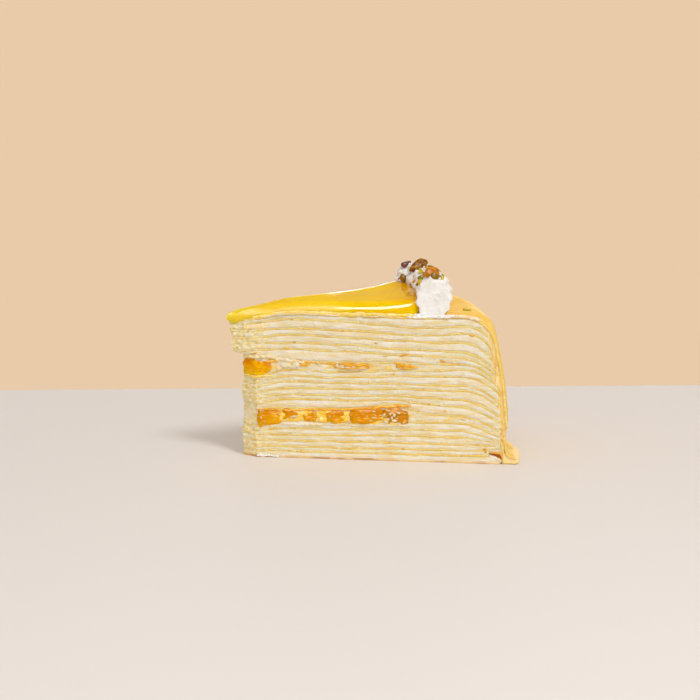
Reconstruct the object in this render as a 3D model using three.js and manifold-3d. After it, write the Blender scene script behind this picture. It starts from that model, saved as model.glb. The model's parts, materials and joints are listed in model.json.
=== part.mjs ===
// A slice of mango mille crepe cake: twenty-one crepes with whipped cream between them,
// two layers of mango, a poured mango glaze and a piped border of whipped cream with pistachios.
//
// Millimetres, +Z up. The slice stands on z = 0. The two cut faces meet at the Z axis, and the
// slice's middle line runs along +X from the slumped tip to the rim. The near cut face is on -Y.

import * as THREE from 'three';
import { mergeVertices } from 'three/addons/utils/BufferGeometryUtils.js';
import Module from 'manifold-3d';

const wasm = await Module();
wasm.setup();

// ---------------------------------------------------------------- sizes

const HALF_ANGLE = THREE.MathUtils.degToRad(18);   // a tenth of a round cake
const ARC_CELLS = 4;                               // facets across the slice
const CREPE_THICKNESS = 0.9;

// Heights of each crepe's middle over the plate, the top crepe first: at the slumped tip, on the
// level inner part, ahead of the rim, and on the rim's shoulder.
const CREPE_HEIGHTS = [
  [59.2, 62.1, 62.0, 62.6],
  [57.7, 60.0, 58.0, 58.9],
  [54.6, 56.2, 54.8, 55.9],
  [51.6, 53.4, 51.8, 51.6],
  [49.2, 50.2, 48.4, 47.5],
  [46.0, 47.2, 45.9, 45.2],
  [43.4, 42.2, 42.4, 42.8],
  [33.9, 38.0, 39.3, 40.5],
  [31.9, 35.5, 37.0, 37.5],
  [30.1, 33.0, 33.5, 33.3],
  [27.8, 30.3, 31.1, 31.2],
  [25.4, 27.6, 27.8, 26.9],
  [23.0, 25.6, 25.1, 23.9],
  [20.9, 22.0, 20.7, 19.9],
  [13.7, 16.2, 17.2, 16.6],
  [11.7, 12.7, 14.1, 13.5],
  [9.8, 10.2, 11.1, 11.1],
  [7.4, 7.6, 7.9, 8.2],
  [4.8, 5.0, 5.3, 5.3],
  [2.7, 3.0, 3.1, 3.2],
  [0.45, 0.45, 0.45, 0.45],
];
const CREPES = CREPE_HEIGHTS.length;

// Distances from the Z axis between which one height goes over into the next.
const TIP_SLUMP = [11, 21];
const INNER_TO_RIM = [35, 85];
const RIM_TO_SHOULDER = [85, 102];

// The fruit of the lower layer ends in a hump, which lifts the crepes over it.
// Towards the far face it lies nearer the tip and is lower.
const HUMP = {
  crepe: 14,
  height: 3.7,
  distance: 73,
  inward: 24,
  outward: 10,
  fade: 0.38,
  farShift: 7,
  farLoss: 0.35,
};

// Away from the near face the layers roll a little.
const ROLL = { height: 0.45, length: 16, turns: 9, fullAt: 20 };

// The end of the tip is sheared off aslant. Distances along the near and the far face. No two
// layers are cut off at quite the same place.
const TIP_UPPER = { near: 6.9, far: 1.0, lowestCrepe: 6 };
const TIP_LOWER = { near: 11.2, far: 5.9 };
const TIP_JITTER = { size: 0.45, step: 7.3 };

// The round side: the layers end inside an outer skin, which leans in towards the top.
const SKIN = { foot: 118.4, lean: 7.2, height: 60, power: 2.6 };
const LAYERS_INSIDE_SKIN = 2.7;
const SHORT_LAYERS = { from: 19, to: 20, by: 5 };   // they leave a pocket at the foot
const DROOP = { run: 9, drop: 3.4, fullAt: 20, noneAt: 6 };

// Crepes whose edge hangs on down over the ends of the layers below. The top crepe's hem is the
// skin itself, and the others lie just inside it.
const TAILS = {
  1: { drop: 39, cells: 5, inside: 0 },
  3: { drop: 7.6, cells: 3 },
  5: { drop: 3, cells: 2 },
  8: { drop: 3.2, cells: 2 },
  9: { drop: 2.6, cells: 2 },
  10: { drop: 7.5, cells: 3 },
  13: { drop: 2.6, cells: 2 },
  14: { drop: 4, cells: 2 },
  16: { drop: 10, cells: 4, inside: 0.1, splay: 5 },
  17: { drop: 2.6, cells: 2, inside: 2.2 },
};
const LOWEST_HEM = 0.7;           // a splayed hem's middle, where it lies on the plate
const TAIL_START = 2.2;           // fall of the first stretch, so that a tail sets off on the slope
const TAIL_INSIDE_SKIN = 1.15;
const TAIL_THINNING = 0.7;
const TAIL_RAGGED = { wide: 0.12, wideTurns: 11, fine: 0.06, fineTurns: 23 };
const SKIN_ONSET = 2.4;           // how early in its fall the top crepe reaches the skin's line
const SPLAY = { power: 4, farLoss: 0.8 };

// Where each layer's corner points lie: on the tip, at these distances from the Z axis, where its
// droop starts, and at shares of the droop.
const RINGS = [16, 23, 42, 60, 72.5, 79.2, 90];
const DROOP_STEPS = [0, 0.4, 0.72, 1];
const MAIN_POINTS = 1 + RINGS.length + DROOP_STEPS.length;

// Mango in two of the cream layers. Pieces cut by a face lie between two distances from the Z
// axis and reach a depth into the slice, and low and high are shares of the layer's height.
const UPPER_FRUIT = 7;
const LOWER_FRUIT = 14;
const MANGO_PIECES = [
  { layer: UPPER_FRUIT, face: 'tip', from: 17.5, to: 14, low: 0.06, high: 0.9 },
  { layer: UPPER_FRUIT, face: 'near', from: 28, to: 33.5, depth: 4, low: 0.5, high: 0.95 },
  { layer: UPPER_FRUIT, face: 'near', from: 44.5, to: 60, depth: 6, low: 0.3, high: 0.95 },
  { layer: UPPER_FRUIT, face: 'near', from: 71, to: 80, depth: 8, low: 0.07, high: 0.93 },
  { layer: LOWER_FRUIT, face: 'near', from: 11.8, to: 21.8, depth: 6, low: 0.06, high: 0.94 },
  { layer: LOWER_FRUIT, face: 'near', from: 22.6, to: 28.6, depth: 6, low: 0.06, high: 0.94 },
  { layer: LOWER_FRUIT, face: 'near', from: 31.8, to: 37, depth: 6, low: 0.06, high: 0.8 },
  { layer: LOWER_FRUIT, face: 'near', from: 41.6, to: 48.6, depth: 8, low: 0.06, high: 0.94 },
  { layer: LOWER_FRUIT, face: 'near', from: 51.8, to: 65.4, depth: 11, low: 0.06, high: 0.94 },
  { layer: LOWER_FRUIT, face: 'near', from: 66.1, to: 76.2, depth: 10, low: 0.06, high: 0.94 },
  { layer: UPPER_FRUIT, face: 'far', from: 26, to: 36, depth: 5, low: 0.07, high: 0.93 },
  { layer: UPPER_FRUIT, face: 'far', from: 55, to: 66, depth: 7, low: 0.07, high: 0.93 },
  { layer: LOWER_FRUIT, face: 'far', from: 15, to: 23, depth: 4, low: 0.06, high: 0.94 },
  { layer: LOWER_FRUIT, face: 'far', from: 29, to: 40, depth: 7, low: 0.06, high: 0.9 },
  { layer: LOWER_FRUIT, face: 'far', from: 46, to: 54, depth: 9, low: 0.06, high: 0.94 },
  { layer: LOWER_FRUIT, face: 'far', from: 58, to: 71, depth: 10, low: 0.06, high: 0.94 },
];
const MANGO_RINGS = [[0, 0.12], [0.3, 0], [0.75, 0], [1, 0.12]];   // share of height, inset
const MANGO_SQUARENESS = 0.6;     // 1 gives a half ellipse, and less a squarer outline
const TIP_PIECE_SIDE = 2.2;       // how far in the inner corners of the piece in the tip lie
const OUTLINE_STEPS = 6;
const BED_GAP = 0.15;             // round a piece, in plan
const BED_ROOM = 0.14;            // over and under it, as a share of the layer's height
const BED_OPENING = 10;           // how many gaps a bed runs out past the face it is open to
const BED_COVER = 0.1;            // a bed with less cream than this left over or under it is open

const GLAZE = {
  columns: 7,
  tip: 3.4,
  depth: 5.4,
  fullAt: 38,
  round: 1.3,
  roundMost: 0.3,
  overhang: 2,
  climb: 3,
  climbFrom: 68,
  climbTo: 79,
};

// The piped border follows the rim and is a little slimmer at the far face.
const BORDER = {
  distance: 87.4,
  distanceFar: 87.8,
  width: 15.2,
  height: 17,
  heightFar: 14.5,
  centre: 0.46,
  rise: 0.54,
  gap: 0.15,
  ribs: 7,
  groove: 0.06,
  twist: 9,
  squeezes: 4,
  pulse: 0.035,
  sides: 22,
  stations: 20,
};

// Pistachios on the border: where across the slice, the angle round its section, size and turn.
const NUTS = [
  { across: 0.72, around: 107, size: [8.6, 5.2, 4.4], turn: [0, -0.55, -0.14] },
  { across: 0.12, around: 97, size: [6, 5.2, 5], turn: [0.3, 0.3, 0.4] },
  { across: 0.93, around: 116, size: [4.6, 3.4, 2.9], turn: [0, -0.3, 0.2] },
  { across: 0.03, around: 98, size: [3.6, 2.6, 4], turn: [0, 0.2, 0] },
  { across: 0.33, around: 128, size: [4.8, 2.4, 2.2], turn: [0, -0.5, 0] },
  { across: 0.25, around: 143, size: [3.2, 2.6, 1.9], turn: [0, -0.7, 0.5] },
  { across: 0.82, around: 160, size: [2.8, 3.2, 3.6], turn: [0.2, 0.2, 0] },
  { across: 0.04, around: 66, size: [2.4, 2, 2.8], turn: [0.3, 0.5, 0.4] },
  { across: 0.8, around: 46, size: [4.4, 3, 2.6], turn: [0.1, 0.6, 0.5] },
  { across: 0.62, around: 28, size: [3, 2.4, 2.1], turn: [0.4, 1, 0.8] },
  { across: 0.24, around: 117, size: [3.2, 2.6, 2.4], turn: [0.5, 0.1, 2] },
  { across: 0.56, around: 120, size: [2.8, 2.2, 1.9], turn: [0.3, -0.6, 1] },
];

const NUT_STANDS_OUT = 0.2;       // how far a nut's middle is off the border, as a share of its height

const LOOKS = {
  crepe: { color: 0xe0c078, roughness: 0.6 },
  crepeSkin: { color: 0xf8ce68, roughness: 0.6 },
  crepeBottom: { color: 0xc8955a, roughness: 0.6 },
  cream: { color: 0xf2e9d2, roughness: 0.7 },
  mango: { color: 0xe29a14, roughness: 0.35 },
  glaze: { color: 0xf8c408, roughness: 0.1 },
  whipped: { color: 0xf0ece4, roughness: 0.65 },
};

const WELD = 1e-4;                // corners nearer than this are one corner

// ---------------------------------------------------------------- small helpers

const lerp = THREE.MathUtils.lerp;

function smooth(value, range) {
  return THREE.MathUtils.smoothstep(value, range[0], range[1]);
}

function polar(distance, angle) {
  return new THREE.Vector2(distance * Math.cos(angle), distance * Math.sin(angle));
}

function angleAcross(v) {
  return lerp(-HALF_ANGLE, HALF_ANGLE, v);
}

function skinDistance(z) {
  return SKIN.foot - SKIN.lean * Math.pow(Math.max(z, 0) / SKIN.height, SKIN.power);
}

// ---------------------------------------------------------------- the layers' surfaces

// Height of crepe k's middle where it lies flat.
function crepeHeight(k, distance, v) {
  const [tip, inner, rim, shoulder] = CREPE_HEIGHTS[k - 1];
  let z = lerp(tip, inner, smooth(distance, TIP_SLUMP));
  z += (rim - inner) * smooth(distance, INNER_TO_RIM);
  z += (shoulder - rim) * smooth(distance, RIM_TO_SHOULDER);
  z += hump(k, distance, v);
  const freedom = k === CREPES ? 0 : Math.min(1, z / ROLL.fullAt) * v;
  return z + ROLL.height * freedom * Math.sin(distance / ROLL.length + ROLL.turns * v);
}

function hump(k, distance, v) {
  if (k > HUMP.crepe) return 0;
  const offset = distance - (HUMP.distance - HUMP.farShift * v);
  const reach = offset < 0 ? HUMP.inward : HUMP.outward;
  const share = Math.min(1, Math.abs(offset) / reach);
  const height = HUMP.height * Math.pow(HUMP.fade, HUMP.crepe - k);
  return height * (1 - HUMP.farLoss * v) * (1 + Math.cos(Math.PI * share)) / 2;
}

function tipPoint(k, v) {
  const tip = k <= TIP_UPPER.lowestCrepe ? TIP_UPPER : TIP_LOWER;
  const jitter = TIP_JITTER.size * Math.sin(TIP_JITTER.step * k);
  const near = polar(tip.near + jitter, -HALF_ANGLE);
  const far = polar(tip.far + jitter, HALF_ANGLE);
  return near.lerp(far, v);
}

function droopOf(k) {
  const height = CREPE_HEIGHTS[k - 1][3];
  return DROOP.drop * smooth(height, [DROOP.noneAt, DROOP.fullAt]);
}

function layerEnd(k) {
  const height = CREPE_HEIGHTS[k - 1][3] - droopOf(k);
  const short = k >= SHORT_LAYERS.from && k <= SHORT_LAYERS.to ? SHORT_LAYERS.by : 0;
  return skinDistance(height) - LAYERS_INSIDE_SKIN - short;
}

// The middle line of crepe k from the tip to the rim, at v across the slice: a list of
// {plan, z} with the plan point on the slice.
function crepeLine(k, v) {
  const end = layerEnd(k);
  const start = tipPoint(k, v);
  const line = [{ plan: start, z: crepeHeight(k, start.length(), v) }];
  for (const distance of RINGS) {
    line.push({ plan: polar(distance, angleAcross(v)), z: crepeHeight(k, distance, v) });
  }
  for (const step of DROOP_STEPS) {
    const distance = end - DROOP.run * (1 - step);
    const plan = polar(distance, angleAcross(v));
    line.push({ plan, z: crepeHeight(k, distance, v) - droopOf(k) * step * step });
  }
  return line;
}

function raggedness(k, v) {
  const wide = TAIL_RAGGED.wide * Math.sin(TAIL_RAGGED.wideTurns * v + k);
  const fine = TAIL_RAGGED.fine * Math.cos(TAIL_RAGGED.fineTurns * v + 2 * k);
  return 1 + wide - fine;
}

// The part of crepe k that hangs on down past the end of its droop.
function tailLine(k, v) {
  const tail = TAILS[k];
  if (!tail) return [];
  const end = layerEnd(k);
  const top = crepeHeight(k, end, v) - droopOf(k);
  const drop = tail.drop * raggedness(k, v);
  const line = [];
  for (let i = 1; i <= tail.cells; i++) {
    const t = i / tail.cells;
    const fall = TAIL_START * t + (drop - TAIL_START) * t * t;
    const z = Math.max(top - fall, LOWEST_HEM);
    const inside = tail.inside === undefined ? TAIL_INSIDE_SKIN : tail.inside;
    const outward = skinDistance(z) - inside - end;
    const left = k === 1 ? Math.max(0, 1 - SKIN_ONSET * t) : 1 - t;
    const splay = (tail.splay || 0) * (1 - SPLAY.farLoss * v) * Math.pow(t, SPLAY.power);
    const distance = end + outward * (1 - left * left) + splay;
    line.push({ plan: polar(distance, angleAcross(v)), z });
  }
  return line;
}

// The two sides of crepe k at v: its middle line moved half a thickness along its normals.
function crepeSides(k, v) {
  const line = crepeLine(k, v).concat(tailLine(k, v));
  const top = [];
  const bottom = [];
  line.forEach((point, i) => {
    const before = line[Math.max(i - 1, 0)];
    const after = line[Math.min(i + 1, line.length - 1)];
    const run = after.plan.length() - before.plan.length();
    const rise = after.z - before.z;
    const length = Math.hypot(run, rise);
    const radial = point.plan.clone().normalize();
    const thinning = k > 1 && i >= MAIN_POINTS ? TAIL_THINNING : 1;
    const half = (CREPE_THICKNESS / 2) * thinning;
    const out = radial.clone().multiplyScalar(-half * rise / length);
    const up = half * run / length;
    top.push(new THREE.Vector3(point.plan.x + out.x, point.plan.y + out.y, point.z + up));
    bottom.push(new THREE.Vector3(point.plan.x - out.x, point.plan.y - out.y, point.z - up));
  });
  return { top, bottom };
}

const SIDES = [];
for (let k = 1; k <= CREPES; k++) {
  const across = [];
  for (let j = 0; j <= ARC_CELLS; j++) across.push(crepeSides(k, j / ARC_CELLS));
  SIDES.push(across);
}

// Height of one side of crepe k over a plan point, on the facet there, or on the nearest one.
function surfaceHeight(k, side, plan) {
  let best = { outside: Infinity, z: 0 };
  const tryFacet = (a, b, c) => {
    const area = (b.x - a.x) * (c.y - a.y) - (c.x - a.x) * (b.y - a.y);
    const toB = ((plan.x - a.x) * (c.y - a.y) - (c.x - a.x) * (plan.y - a.y)) / area;
    const toC = ((b.x - a.x) * (plan.y - a.y) - (plan.x - a.x) * (b.y - a.y)) / area;
    const outside = Math.max(0, -toB, -toC, toB + toC - 1);
    if (outside < best.outside) {
      best = { outside, z: a.z + toB * (b.z - a.z) + toC * (c.z - a.z) };
    }
  };
  const rows = SIDES[k - 1].map((sides) => sides[side]);
  for (let j = 0; j < ARC_CELLS; j++) {
    for (let i = 0; i < MAIN_POINTS - 1; i++) {
      tryFacet(rows[j][i], rows[j][i + 1], rows[j + 1][i + 1]);
      tryFacet(rows[j][i], rows[j + 1][i + 1], rows[j + 1][i]);
    }
  }
  return best.z;
}

// ---------------------------------------------------------------- solids

// A closed solid from grids of points laid over each other, each grid[j][i] with i outwards and j
// across. The lowest and highest grids are whole faces, and between them only the borders are
// joined.
function layered(grids) {
  const rows = grids[0].length;
  const columns = grids[0][0].length;
  const positions = [];
  const index = [];
  for (const grid of grids) {
    for (const row of grid) {
      for (const point of row) positions.push(point.x, point.y, point.z);
    }
  }
  const at = (g, j, i) => (g * rows + j) * columns + i;
  const top = grids.length - 1;
  for (let j = 0; j < rows - 1; j++) {
    for (let i = 0; i < columns - 1; i++) {
      index.push(at(top, j, i), at(top, j, i + 1), at(top, j + 1, i + 1));
      index.push(at(top, j, i), at(top, j + 1, i + 1), at(top, j + 1, i));
      index.push(at(0, j, i), at(0, j + 1, i + 1), at(0, j, i + 1));
      index.push(at(0, j, i), at(0, j + 1, i), at(0, j + 1, i + 1));
    }
  }
  const border = [];
  for (let i = 0; i < columns - 1; i++) border.push([0, i]);
  for (let j = 0; j < rows - 1; j++) border.push([j, columns - 1]);
  for (let i = columns - 1; i > 0; i--) border.push([rows - 1, i]);
  for (let j = rows - 1; j > 0; j--) border.push([j, 0]);
  for (let g = 0; g < top; g++) {
    border.forEach(([j, i], n) => {
      const [jn, ie] = border[(n + 1) % border.length];
      index.push(at(g, j, i), at(g, jn, ie), at(g + 1, jn, ie));
      index.push(at(g, j, i), at(g + 1, jn, ie), at(g + 1, j, i));
    });
  }
  const geometry = new THREE.BufferGeometry();
  geometry.setAttribute('position', new THREE.Float32BufferAttribute(positions, 3));
  geometry.setIndex(index);
  return geometry;
}

function named(name, geometry, look) {
  const mesh = new THREE.Mesh(geometry, new THREE.MeshStandardMaterial(look));
  mesh.name = name;
  return mesh;
}

function numbered(name, k) {
  return name + '_' + String(k).padStart(2, '0');
}

function crepe(k) {
  const top = SIDES[k - 1].map((sides) => sides.top);
  const bottom = SIDES[k - 1].map((sides) => sides.bottom);
  return layered([bottom, top]);
}

function cream(k) {
  const top = SIDES[k - 1].map((sides) => sides.bottom.slice(0, MAIN_POINTS));
  const bottom = SIDES[k].map((sides) => sides.top.slice(0, MAIN_POINTS));
  return layered([bottom, top]);
}

// ---------------------------------------------------------------- mango pieces

// A side of the slice that a piece of fruit is cut by: a plan point at a distance from the Z axis
// and a depth behind that face.
function onFace(face, distance, depth) {
  const angle = face === 'near' ? -HALF_ANGLE : HALF_ANGLE;
  const inward = face === 'near' ? Math.PI / 2 : -Math.PI / 2;
  return polar(distance, angle).add(polar(depth, angle + inward));
}

// Outline of a piece cut by a face, from its inner end round the back to its outer end. Growing it
// makes the outline of its bed in the cream, which is open at the face.
function cutOutline(piece, grow) {
  const outline = [];
  const middle = (piece.from + piece.to) / 2;
  const half = (piece.to - piece.from) / 2 + grow;
  const turn = piece.face === 'near' ? 1 : -1;
  const mouth = half + 2 * grow;
  outline.push(onFace(piece.face, middle + mouth, -grow * BED_OPENING));
  for (let i = 0; i <= OUTLINE_STEPS; i++) {
    const angle = (Math.PI * i) / OUTLINE_STEPS;
    const cosine = Math.cos(angle);
    const along = Math.sign(cosine) * Math.pow(Math.abs(cosine), MANGO_SQUARENESS);
    const depth = Math.pow(Math.sin(angle), MANGO_SQUARENESS) * (piece.depth + grow);
    if (i > 0 && i < OUTLINE_STEPS) outline.push(onFace(piece.face, middle + half * along, depth));
  }
  outline.push(onFace(piece.face, middle - mouth, -grow * BED_OPENING));
  return turn > 0 ? outline : outline.reverse();
}

// Outline of the piece that fills the whole tip.
function tipOutline(piece, grow) {
  const near = tipPoint(CREPES, 0);
  const far = tipPoint(CREPES, 1);
  const open = grow * BED_OPENING;
  return [
    onFace('near', piece.from + grow, -open),
    onFace('near', piece.from + grow, TIP_PIECE_SIDE),
    onFace('far', piece.to + grow, TIP_PIECE_SIDE),
    onFace('far', piece.to + grow, -open),
    onFace('far', far.length() - open, -open),
    onFace('near', near.length() - open, -open),
  ];
}

// Height at a share of the way up through cream layer k.
function creamHeight(k, plan, share) {
  return lerp(surfaceHeight(k + 1, 'top', plan), surfaceHeight(k, 'bottom', plan), share);
}

// A closed solid from rings of points, the lowest ring first, each ring anticlockwise from above.
function stack(rings) {
  const sides = rings[0].length;
  const positions = [];
  const index = [];
  for (const ring of rings) {
    for (const point of ring) positions.push(point.x, point.y, point.z);
  }
  for (let r = 0; r < rings.length - 1; r++) {
    for (let i = 0; i < sides; i++) {
      const next = (i + 1) % sides;
      const a = r * sides + i;
      const b = r * sides + next;
      index.push(a, b, b + sides, a, b + sides, a + sides);
    }
  }
  const last = (rings.length - 1) * sides;
  for (let i = 1; i < sides - 1; i++) {
    index.push(0, i + 1, i);
    index.push(last, last + i, last + i + 1);
  }
  const geometry = new THREE.BufferGeometry();
  geometry.setAttribute('position', new THREE.Float32BufferAttribute(positions, 3));
  geometry.setIndex(index);
  return geometry;
}

function outlineOf(piece, grow) {
  return piece.face === 'tip' ? tipOutline(piece, grow) : cutOutline(piece, grow);
}

// One piece of mango: full in the middle of its height, a little smaller at its top and bottom.
function mango(piece) {
  const rings = [];
  for (const [share, inset] of MANGO_RINGS) {
    const height = lerp(piece.low, piece.high, share);
    const outline = outlineOf(piece, 0);
    const centre = new THREE.Vector2();
    for (const point of outline) centre.addScaledVector(point, 1 / outline.length);
    rings.push(outline.map((point) => {
      const moved = point.clone().lerp(centre, inset);
      return new THREE.Vector3(moved.x, moved.y, creamHeight(piece.layer, moved, height));
    }));
  }
  return stack(rings);
}

// The bed of a piece in its cream: its outline with room to spare, through the height it takes up.
function mangoBed(piece) {
  const low = piece.low > BED_COVER ? piece.low - BED_ROOM : -1;
  const high = piece.high < 1 - BED_COVER ? piece.high + BED_ROOM : 2;
  return stack([low, high].map((share) => outlineOf(piece, BED_GAP).map((point) => (
    new THREE.Vector3(point.x, point.y, creamHeight(piece.layer, point, share))
  ))));
}

// ---------------------------------------------------------------- booleans

function solid(geometry) {
  const merged = mergeVertices(geometry, WELD);
  const mesh = new wasm.Mesh({
    numProp: 3,
    vertProperties: merged.attributes.position.array,
    triVerts: new Uint32Array(merged.index.array),
  });
  return new wasm.Manifold(mesh);
}

function geometryOf(made) {
  const mesh = made.getMesh();
  const geometry = new THREE.BufferGeometry();
  const positions = new Float32Array(mesh.numVert * 3);
  for (let i = 0; i < mesh.numVert; i++) {
    for (let axis = 0; axis < 3; axis++) {
      positions[3 * i + axis] = mesh.vertProperties[mesh.numProp * i + axis];
    }
  }
  geometry.setAttribute('position', new THREE.BufferAttribute(positions, 3));
  geometry.setIndex([...mesh.triVerts]);
  return geometry;
}

// A layer with its beds cut out. Where a bed cuts off a thin scrap, only the layer itself is kept.
function withBeds(geometry, pieces) {
  let body = solid(geometry);
  for (const piece of pieces) body = body.subtract(solid(mangoBed(piece)));
  const parts = body.decompose();
  parts.sort((a, b) => b.volume() - a.volume());
  return geometryOf(parts[0]);
}

// ---------------------------------------------------------------- glaze

// The glaze lies on the top crepe out to the border. Its edges are rounded over, and it climbs
// where it meets the border.
function glaze() {
  const columns = GLAZE.columns;
  const floor = SIDES[0].map((sides) => sides.top.slice(0, columns));
  const wall = floor.map((row) => row.map((point, i) => {
    const up = glazeDepth(point) - GLAZE.round;
    return new THREE.Vector3(point.x, point.y, point.z + up).add(overhang(i, 1));
  }));
  const rows = floor.length;
  const top = floor.map((row, j) => row.map((point, i) => {
    const middle = row[i].clone().lerp(floor[rows - 1 - j][i], 0.5);
    const inward = middle.sub(point);
    const length = Math.max(inward.length(), 1e-6);
    const atFace = j === 0 || j === rows - 1;
    const edge = atFace ? Math.min(GLAZE.round / length, GLAZE.roundMost) : 0;
    const moved = point.clone().addScaledVector(inward, edge);
    return moved.add(overhang(i, 0.5)).setZ(point.z + glazeDepth(point));
  }));
  return layered([floor, wall, top]);
}

// The glaze bulges out over the tip.
function overhang(column, share) {
  const outward = column === 0 ? -GLAZE.overhang * share : 0;
  return new THREE.Vector3(outward, 0, 0);
}

function glazeDepth(point) {
  const distance = Math.hypot(point.x, point.y);
  const depth = lerp(GLAZE.tip, GLAZE.depth, smooth(distance, [0, GLAZE.fullAt]));
  return depth + GLAZE.climb * smooth(distance, [GLAZE.climbFrom, GLAZE.climbTo]);
}

// ---------------------------------------------------------------- whipped cream border

// Middle of the border's section at v across the slice.
function borderMiddle(v) {
  const distance = lerp(BORDER.distance, BORDER.distanceFar, v);
  const height = lerp(BORDER.height, BORDER.heightFar, v);
  const foot = surfaceHeight(1, 'top', polar(distance, angleAcross(v)));
  return { distance, height, z: foot + BORDER.centre * height };
}

// A point on the border: around is the angle in the section, and out pushes it off the surface.
function borderPoint(v, around, out = 0) {
  const middle = borderMiddle(v);
  const groove = 1 + BORDER.groove * Math.cos(BORDER.ribs * around + BORDER.twist * v);
  const pulse = 1 + BORDER.pulse * Math.sin(2 * Math.PI * BORDER.squeezes * v);
  const half = (BORDER.width / 2) * groove * pulse + out;
  const rise = BORDER.rise * middle.height * groove * pulse + out;
  const distance = middle.distance + half * Math.cos(around);
  const plan = polar(distance, angleAcross(v));
  const foot = surfaceHeight(1, 'top', plan) + BORDER.gap;
  return new THREE.Vector3(plan.x, plan.y, Math.max(foot, middle.z + rise * Math.sin(around)));
}

function border() {
  const rings = [];
  for (let i = 0; i <= BORDER.stations; i++) {
    const ring = [];
    for (let n = 0; n < BORDER.sides; n++) {
      ring.push(borderPoint(i / BORDER.stations, -(2 * Math.PI * n) / BORDER.sides));
    }
    rings.push(ring);
  }
  return stack(rings);
}

// A shelled nut or a broken bit of one: a stretched lump lying on the border, sunk in a little.
function nut(spot) {
  const shape = new THREE.IcosahedronGeometry(1, 0);
  shape.deleteAttribute('normal');
  shape.deleteAttribute('uv');
  shape.scale(spot.size[0] / 2, spot.size[1] / 2, spot.size[2] / 2);
  const tilt = new THREE.Euler(spot.turn[0], spot.turn[1], spot.turn[2]);
  shape.applyMatrix4(new THREE.Matrix4().makeRotationFromEuler(tilt));
  const out = NUT_STANDS_OUT * spot.size[2];
  const place = borderPoint(spot.across, THREE.MathUtils.degToRad(spot.around), out);
  shape.translate(place.x, place.y, place.z);
  return mergeVertices(shape, WELD);
}

function borderWithNuts() {
  let body = solid(border());
  for (const spot of NUTS) body = body.add(solid(nut(spot)));
  return geometryOf(body);
}

// ---------------------------------------------------------------- the slice

const group = new THREE.Group();
for (let k = 1; k <= CREPES; k++) {
  let look = LOOKS.crepe;
  if (k === 1) look = LOOKS.crepeSkin;
  if (k === CREPES) look = LOOKS.crepeBottom;
  group.add(named(numbered('crepe', k), crepe(k), look));
}
for (let k = 1; k < CREPES; k++) {
  const pieces = MANGO_PIECES.filter((piece) => piece.layer === k);
  const layer = pieces.length > 0 ? withBeds(cream(k), pieces) : cream(k);
  group.add(named(numbered('cream', k), layer, LOOKS.cream));
}
MANGO_PIECES.forEach((piece, i) => {
  group.add(named(numbered('mango', i + 1), mango(piece), LOOKS.mango));
});
group.add(named('glaze', glaze(), LOOKS.glaze));
group.add(named('whipped_border', borderWithNuts(), LOOKS.whipped));

const box = new THREE.Box3().setFromObject(group);
group.position.set(-(box.min.x + box.max.x) / 2, -(box.min.y + box.max.y) / 2, -box.min.z);

export default group;
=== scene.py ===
# %% [markdown]
# # A slice of mango crepe cake
#
# The slice is a stack of thin crepes with whipped cream between them, cut as a narrow wedge. Two of
# the cream layers hold mango, the top is glazed, and a line of piped cream with pistachios follows
# the rim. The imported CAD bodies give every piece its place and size. The cells below make the
# pieces again with the softness, the knife marks and the finishes of real food.

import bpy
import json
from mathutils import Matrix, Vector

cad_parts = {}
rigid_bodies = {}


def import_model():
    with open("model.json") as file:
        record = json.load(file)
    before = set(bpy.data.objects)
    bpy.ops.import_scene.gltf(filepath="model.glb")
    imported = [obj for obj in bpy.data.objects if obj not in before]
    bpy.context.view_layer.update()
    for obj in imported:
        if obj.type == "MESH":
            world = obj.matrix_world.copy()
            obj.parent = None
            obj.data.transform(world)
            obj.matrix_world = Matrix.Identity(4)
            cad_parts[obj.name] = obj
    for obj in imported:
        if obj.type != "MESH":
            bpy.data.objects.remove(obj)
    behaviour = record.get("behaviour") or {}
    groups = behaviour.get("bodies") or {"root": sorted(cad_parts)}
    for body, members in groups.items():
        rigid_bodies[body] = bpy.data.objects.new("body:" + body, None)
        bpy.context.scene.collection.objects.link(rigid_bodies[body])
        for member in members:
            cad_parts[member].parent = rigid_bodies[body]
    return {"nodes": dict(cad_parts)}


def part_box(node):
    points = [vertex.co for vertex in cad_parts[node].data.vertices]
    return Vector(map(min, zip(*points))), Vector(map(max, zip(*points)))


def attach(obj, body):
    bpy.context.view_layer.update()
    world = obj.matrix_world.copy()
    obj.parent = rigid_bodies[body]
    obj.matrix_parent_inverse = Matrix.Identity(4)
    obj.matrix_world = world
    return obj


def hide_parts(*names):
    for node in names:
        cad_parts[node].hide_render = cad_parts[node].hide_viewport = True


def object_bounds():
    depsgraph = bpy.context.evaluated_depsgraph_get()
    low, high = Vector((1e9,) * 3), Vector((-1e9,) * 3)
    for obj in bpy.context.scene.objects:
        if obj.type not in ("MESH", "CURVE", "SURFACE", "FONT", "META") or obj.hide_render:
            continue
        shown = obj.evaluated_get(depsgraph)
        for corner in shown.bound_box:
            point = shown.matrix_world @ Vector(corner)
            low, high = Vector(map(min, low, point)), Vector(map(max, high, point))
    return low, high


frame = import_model()
cad_low, cad_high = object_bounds()
print("CAD box", cad_low, cad_high)

# %% [markdown]
# ## Where things are
#
# The two cut faces of a wedge meet in one upright line, the middle of the whole cake. The lowest
# crepe is flat and its rim is an arc about that line, so its box is enough to find it.

# %% The wedge
import json
import math
import random

import bpy
from mathutils import Matrix, Vector, kdtree
from mathutils.bvhtree import BVHTree

MM = 0.001
HALF_ANGLE = math.radians(18)
UP = Vector((0, 0, 1))

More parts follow.
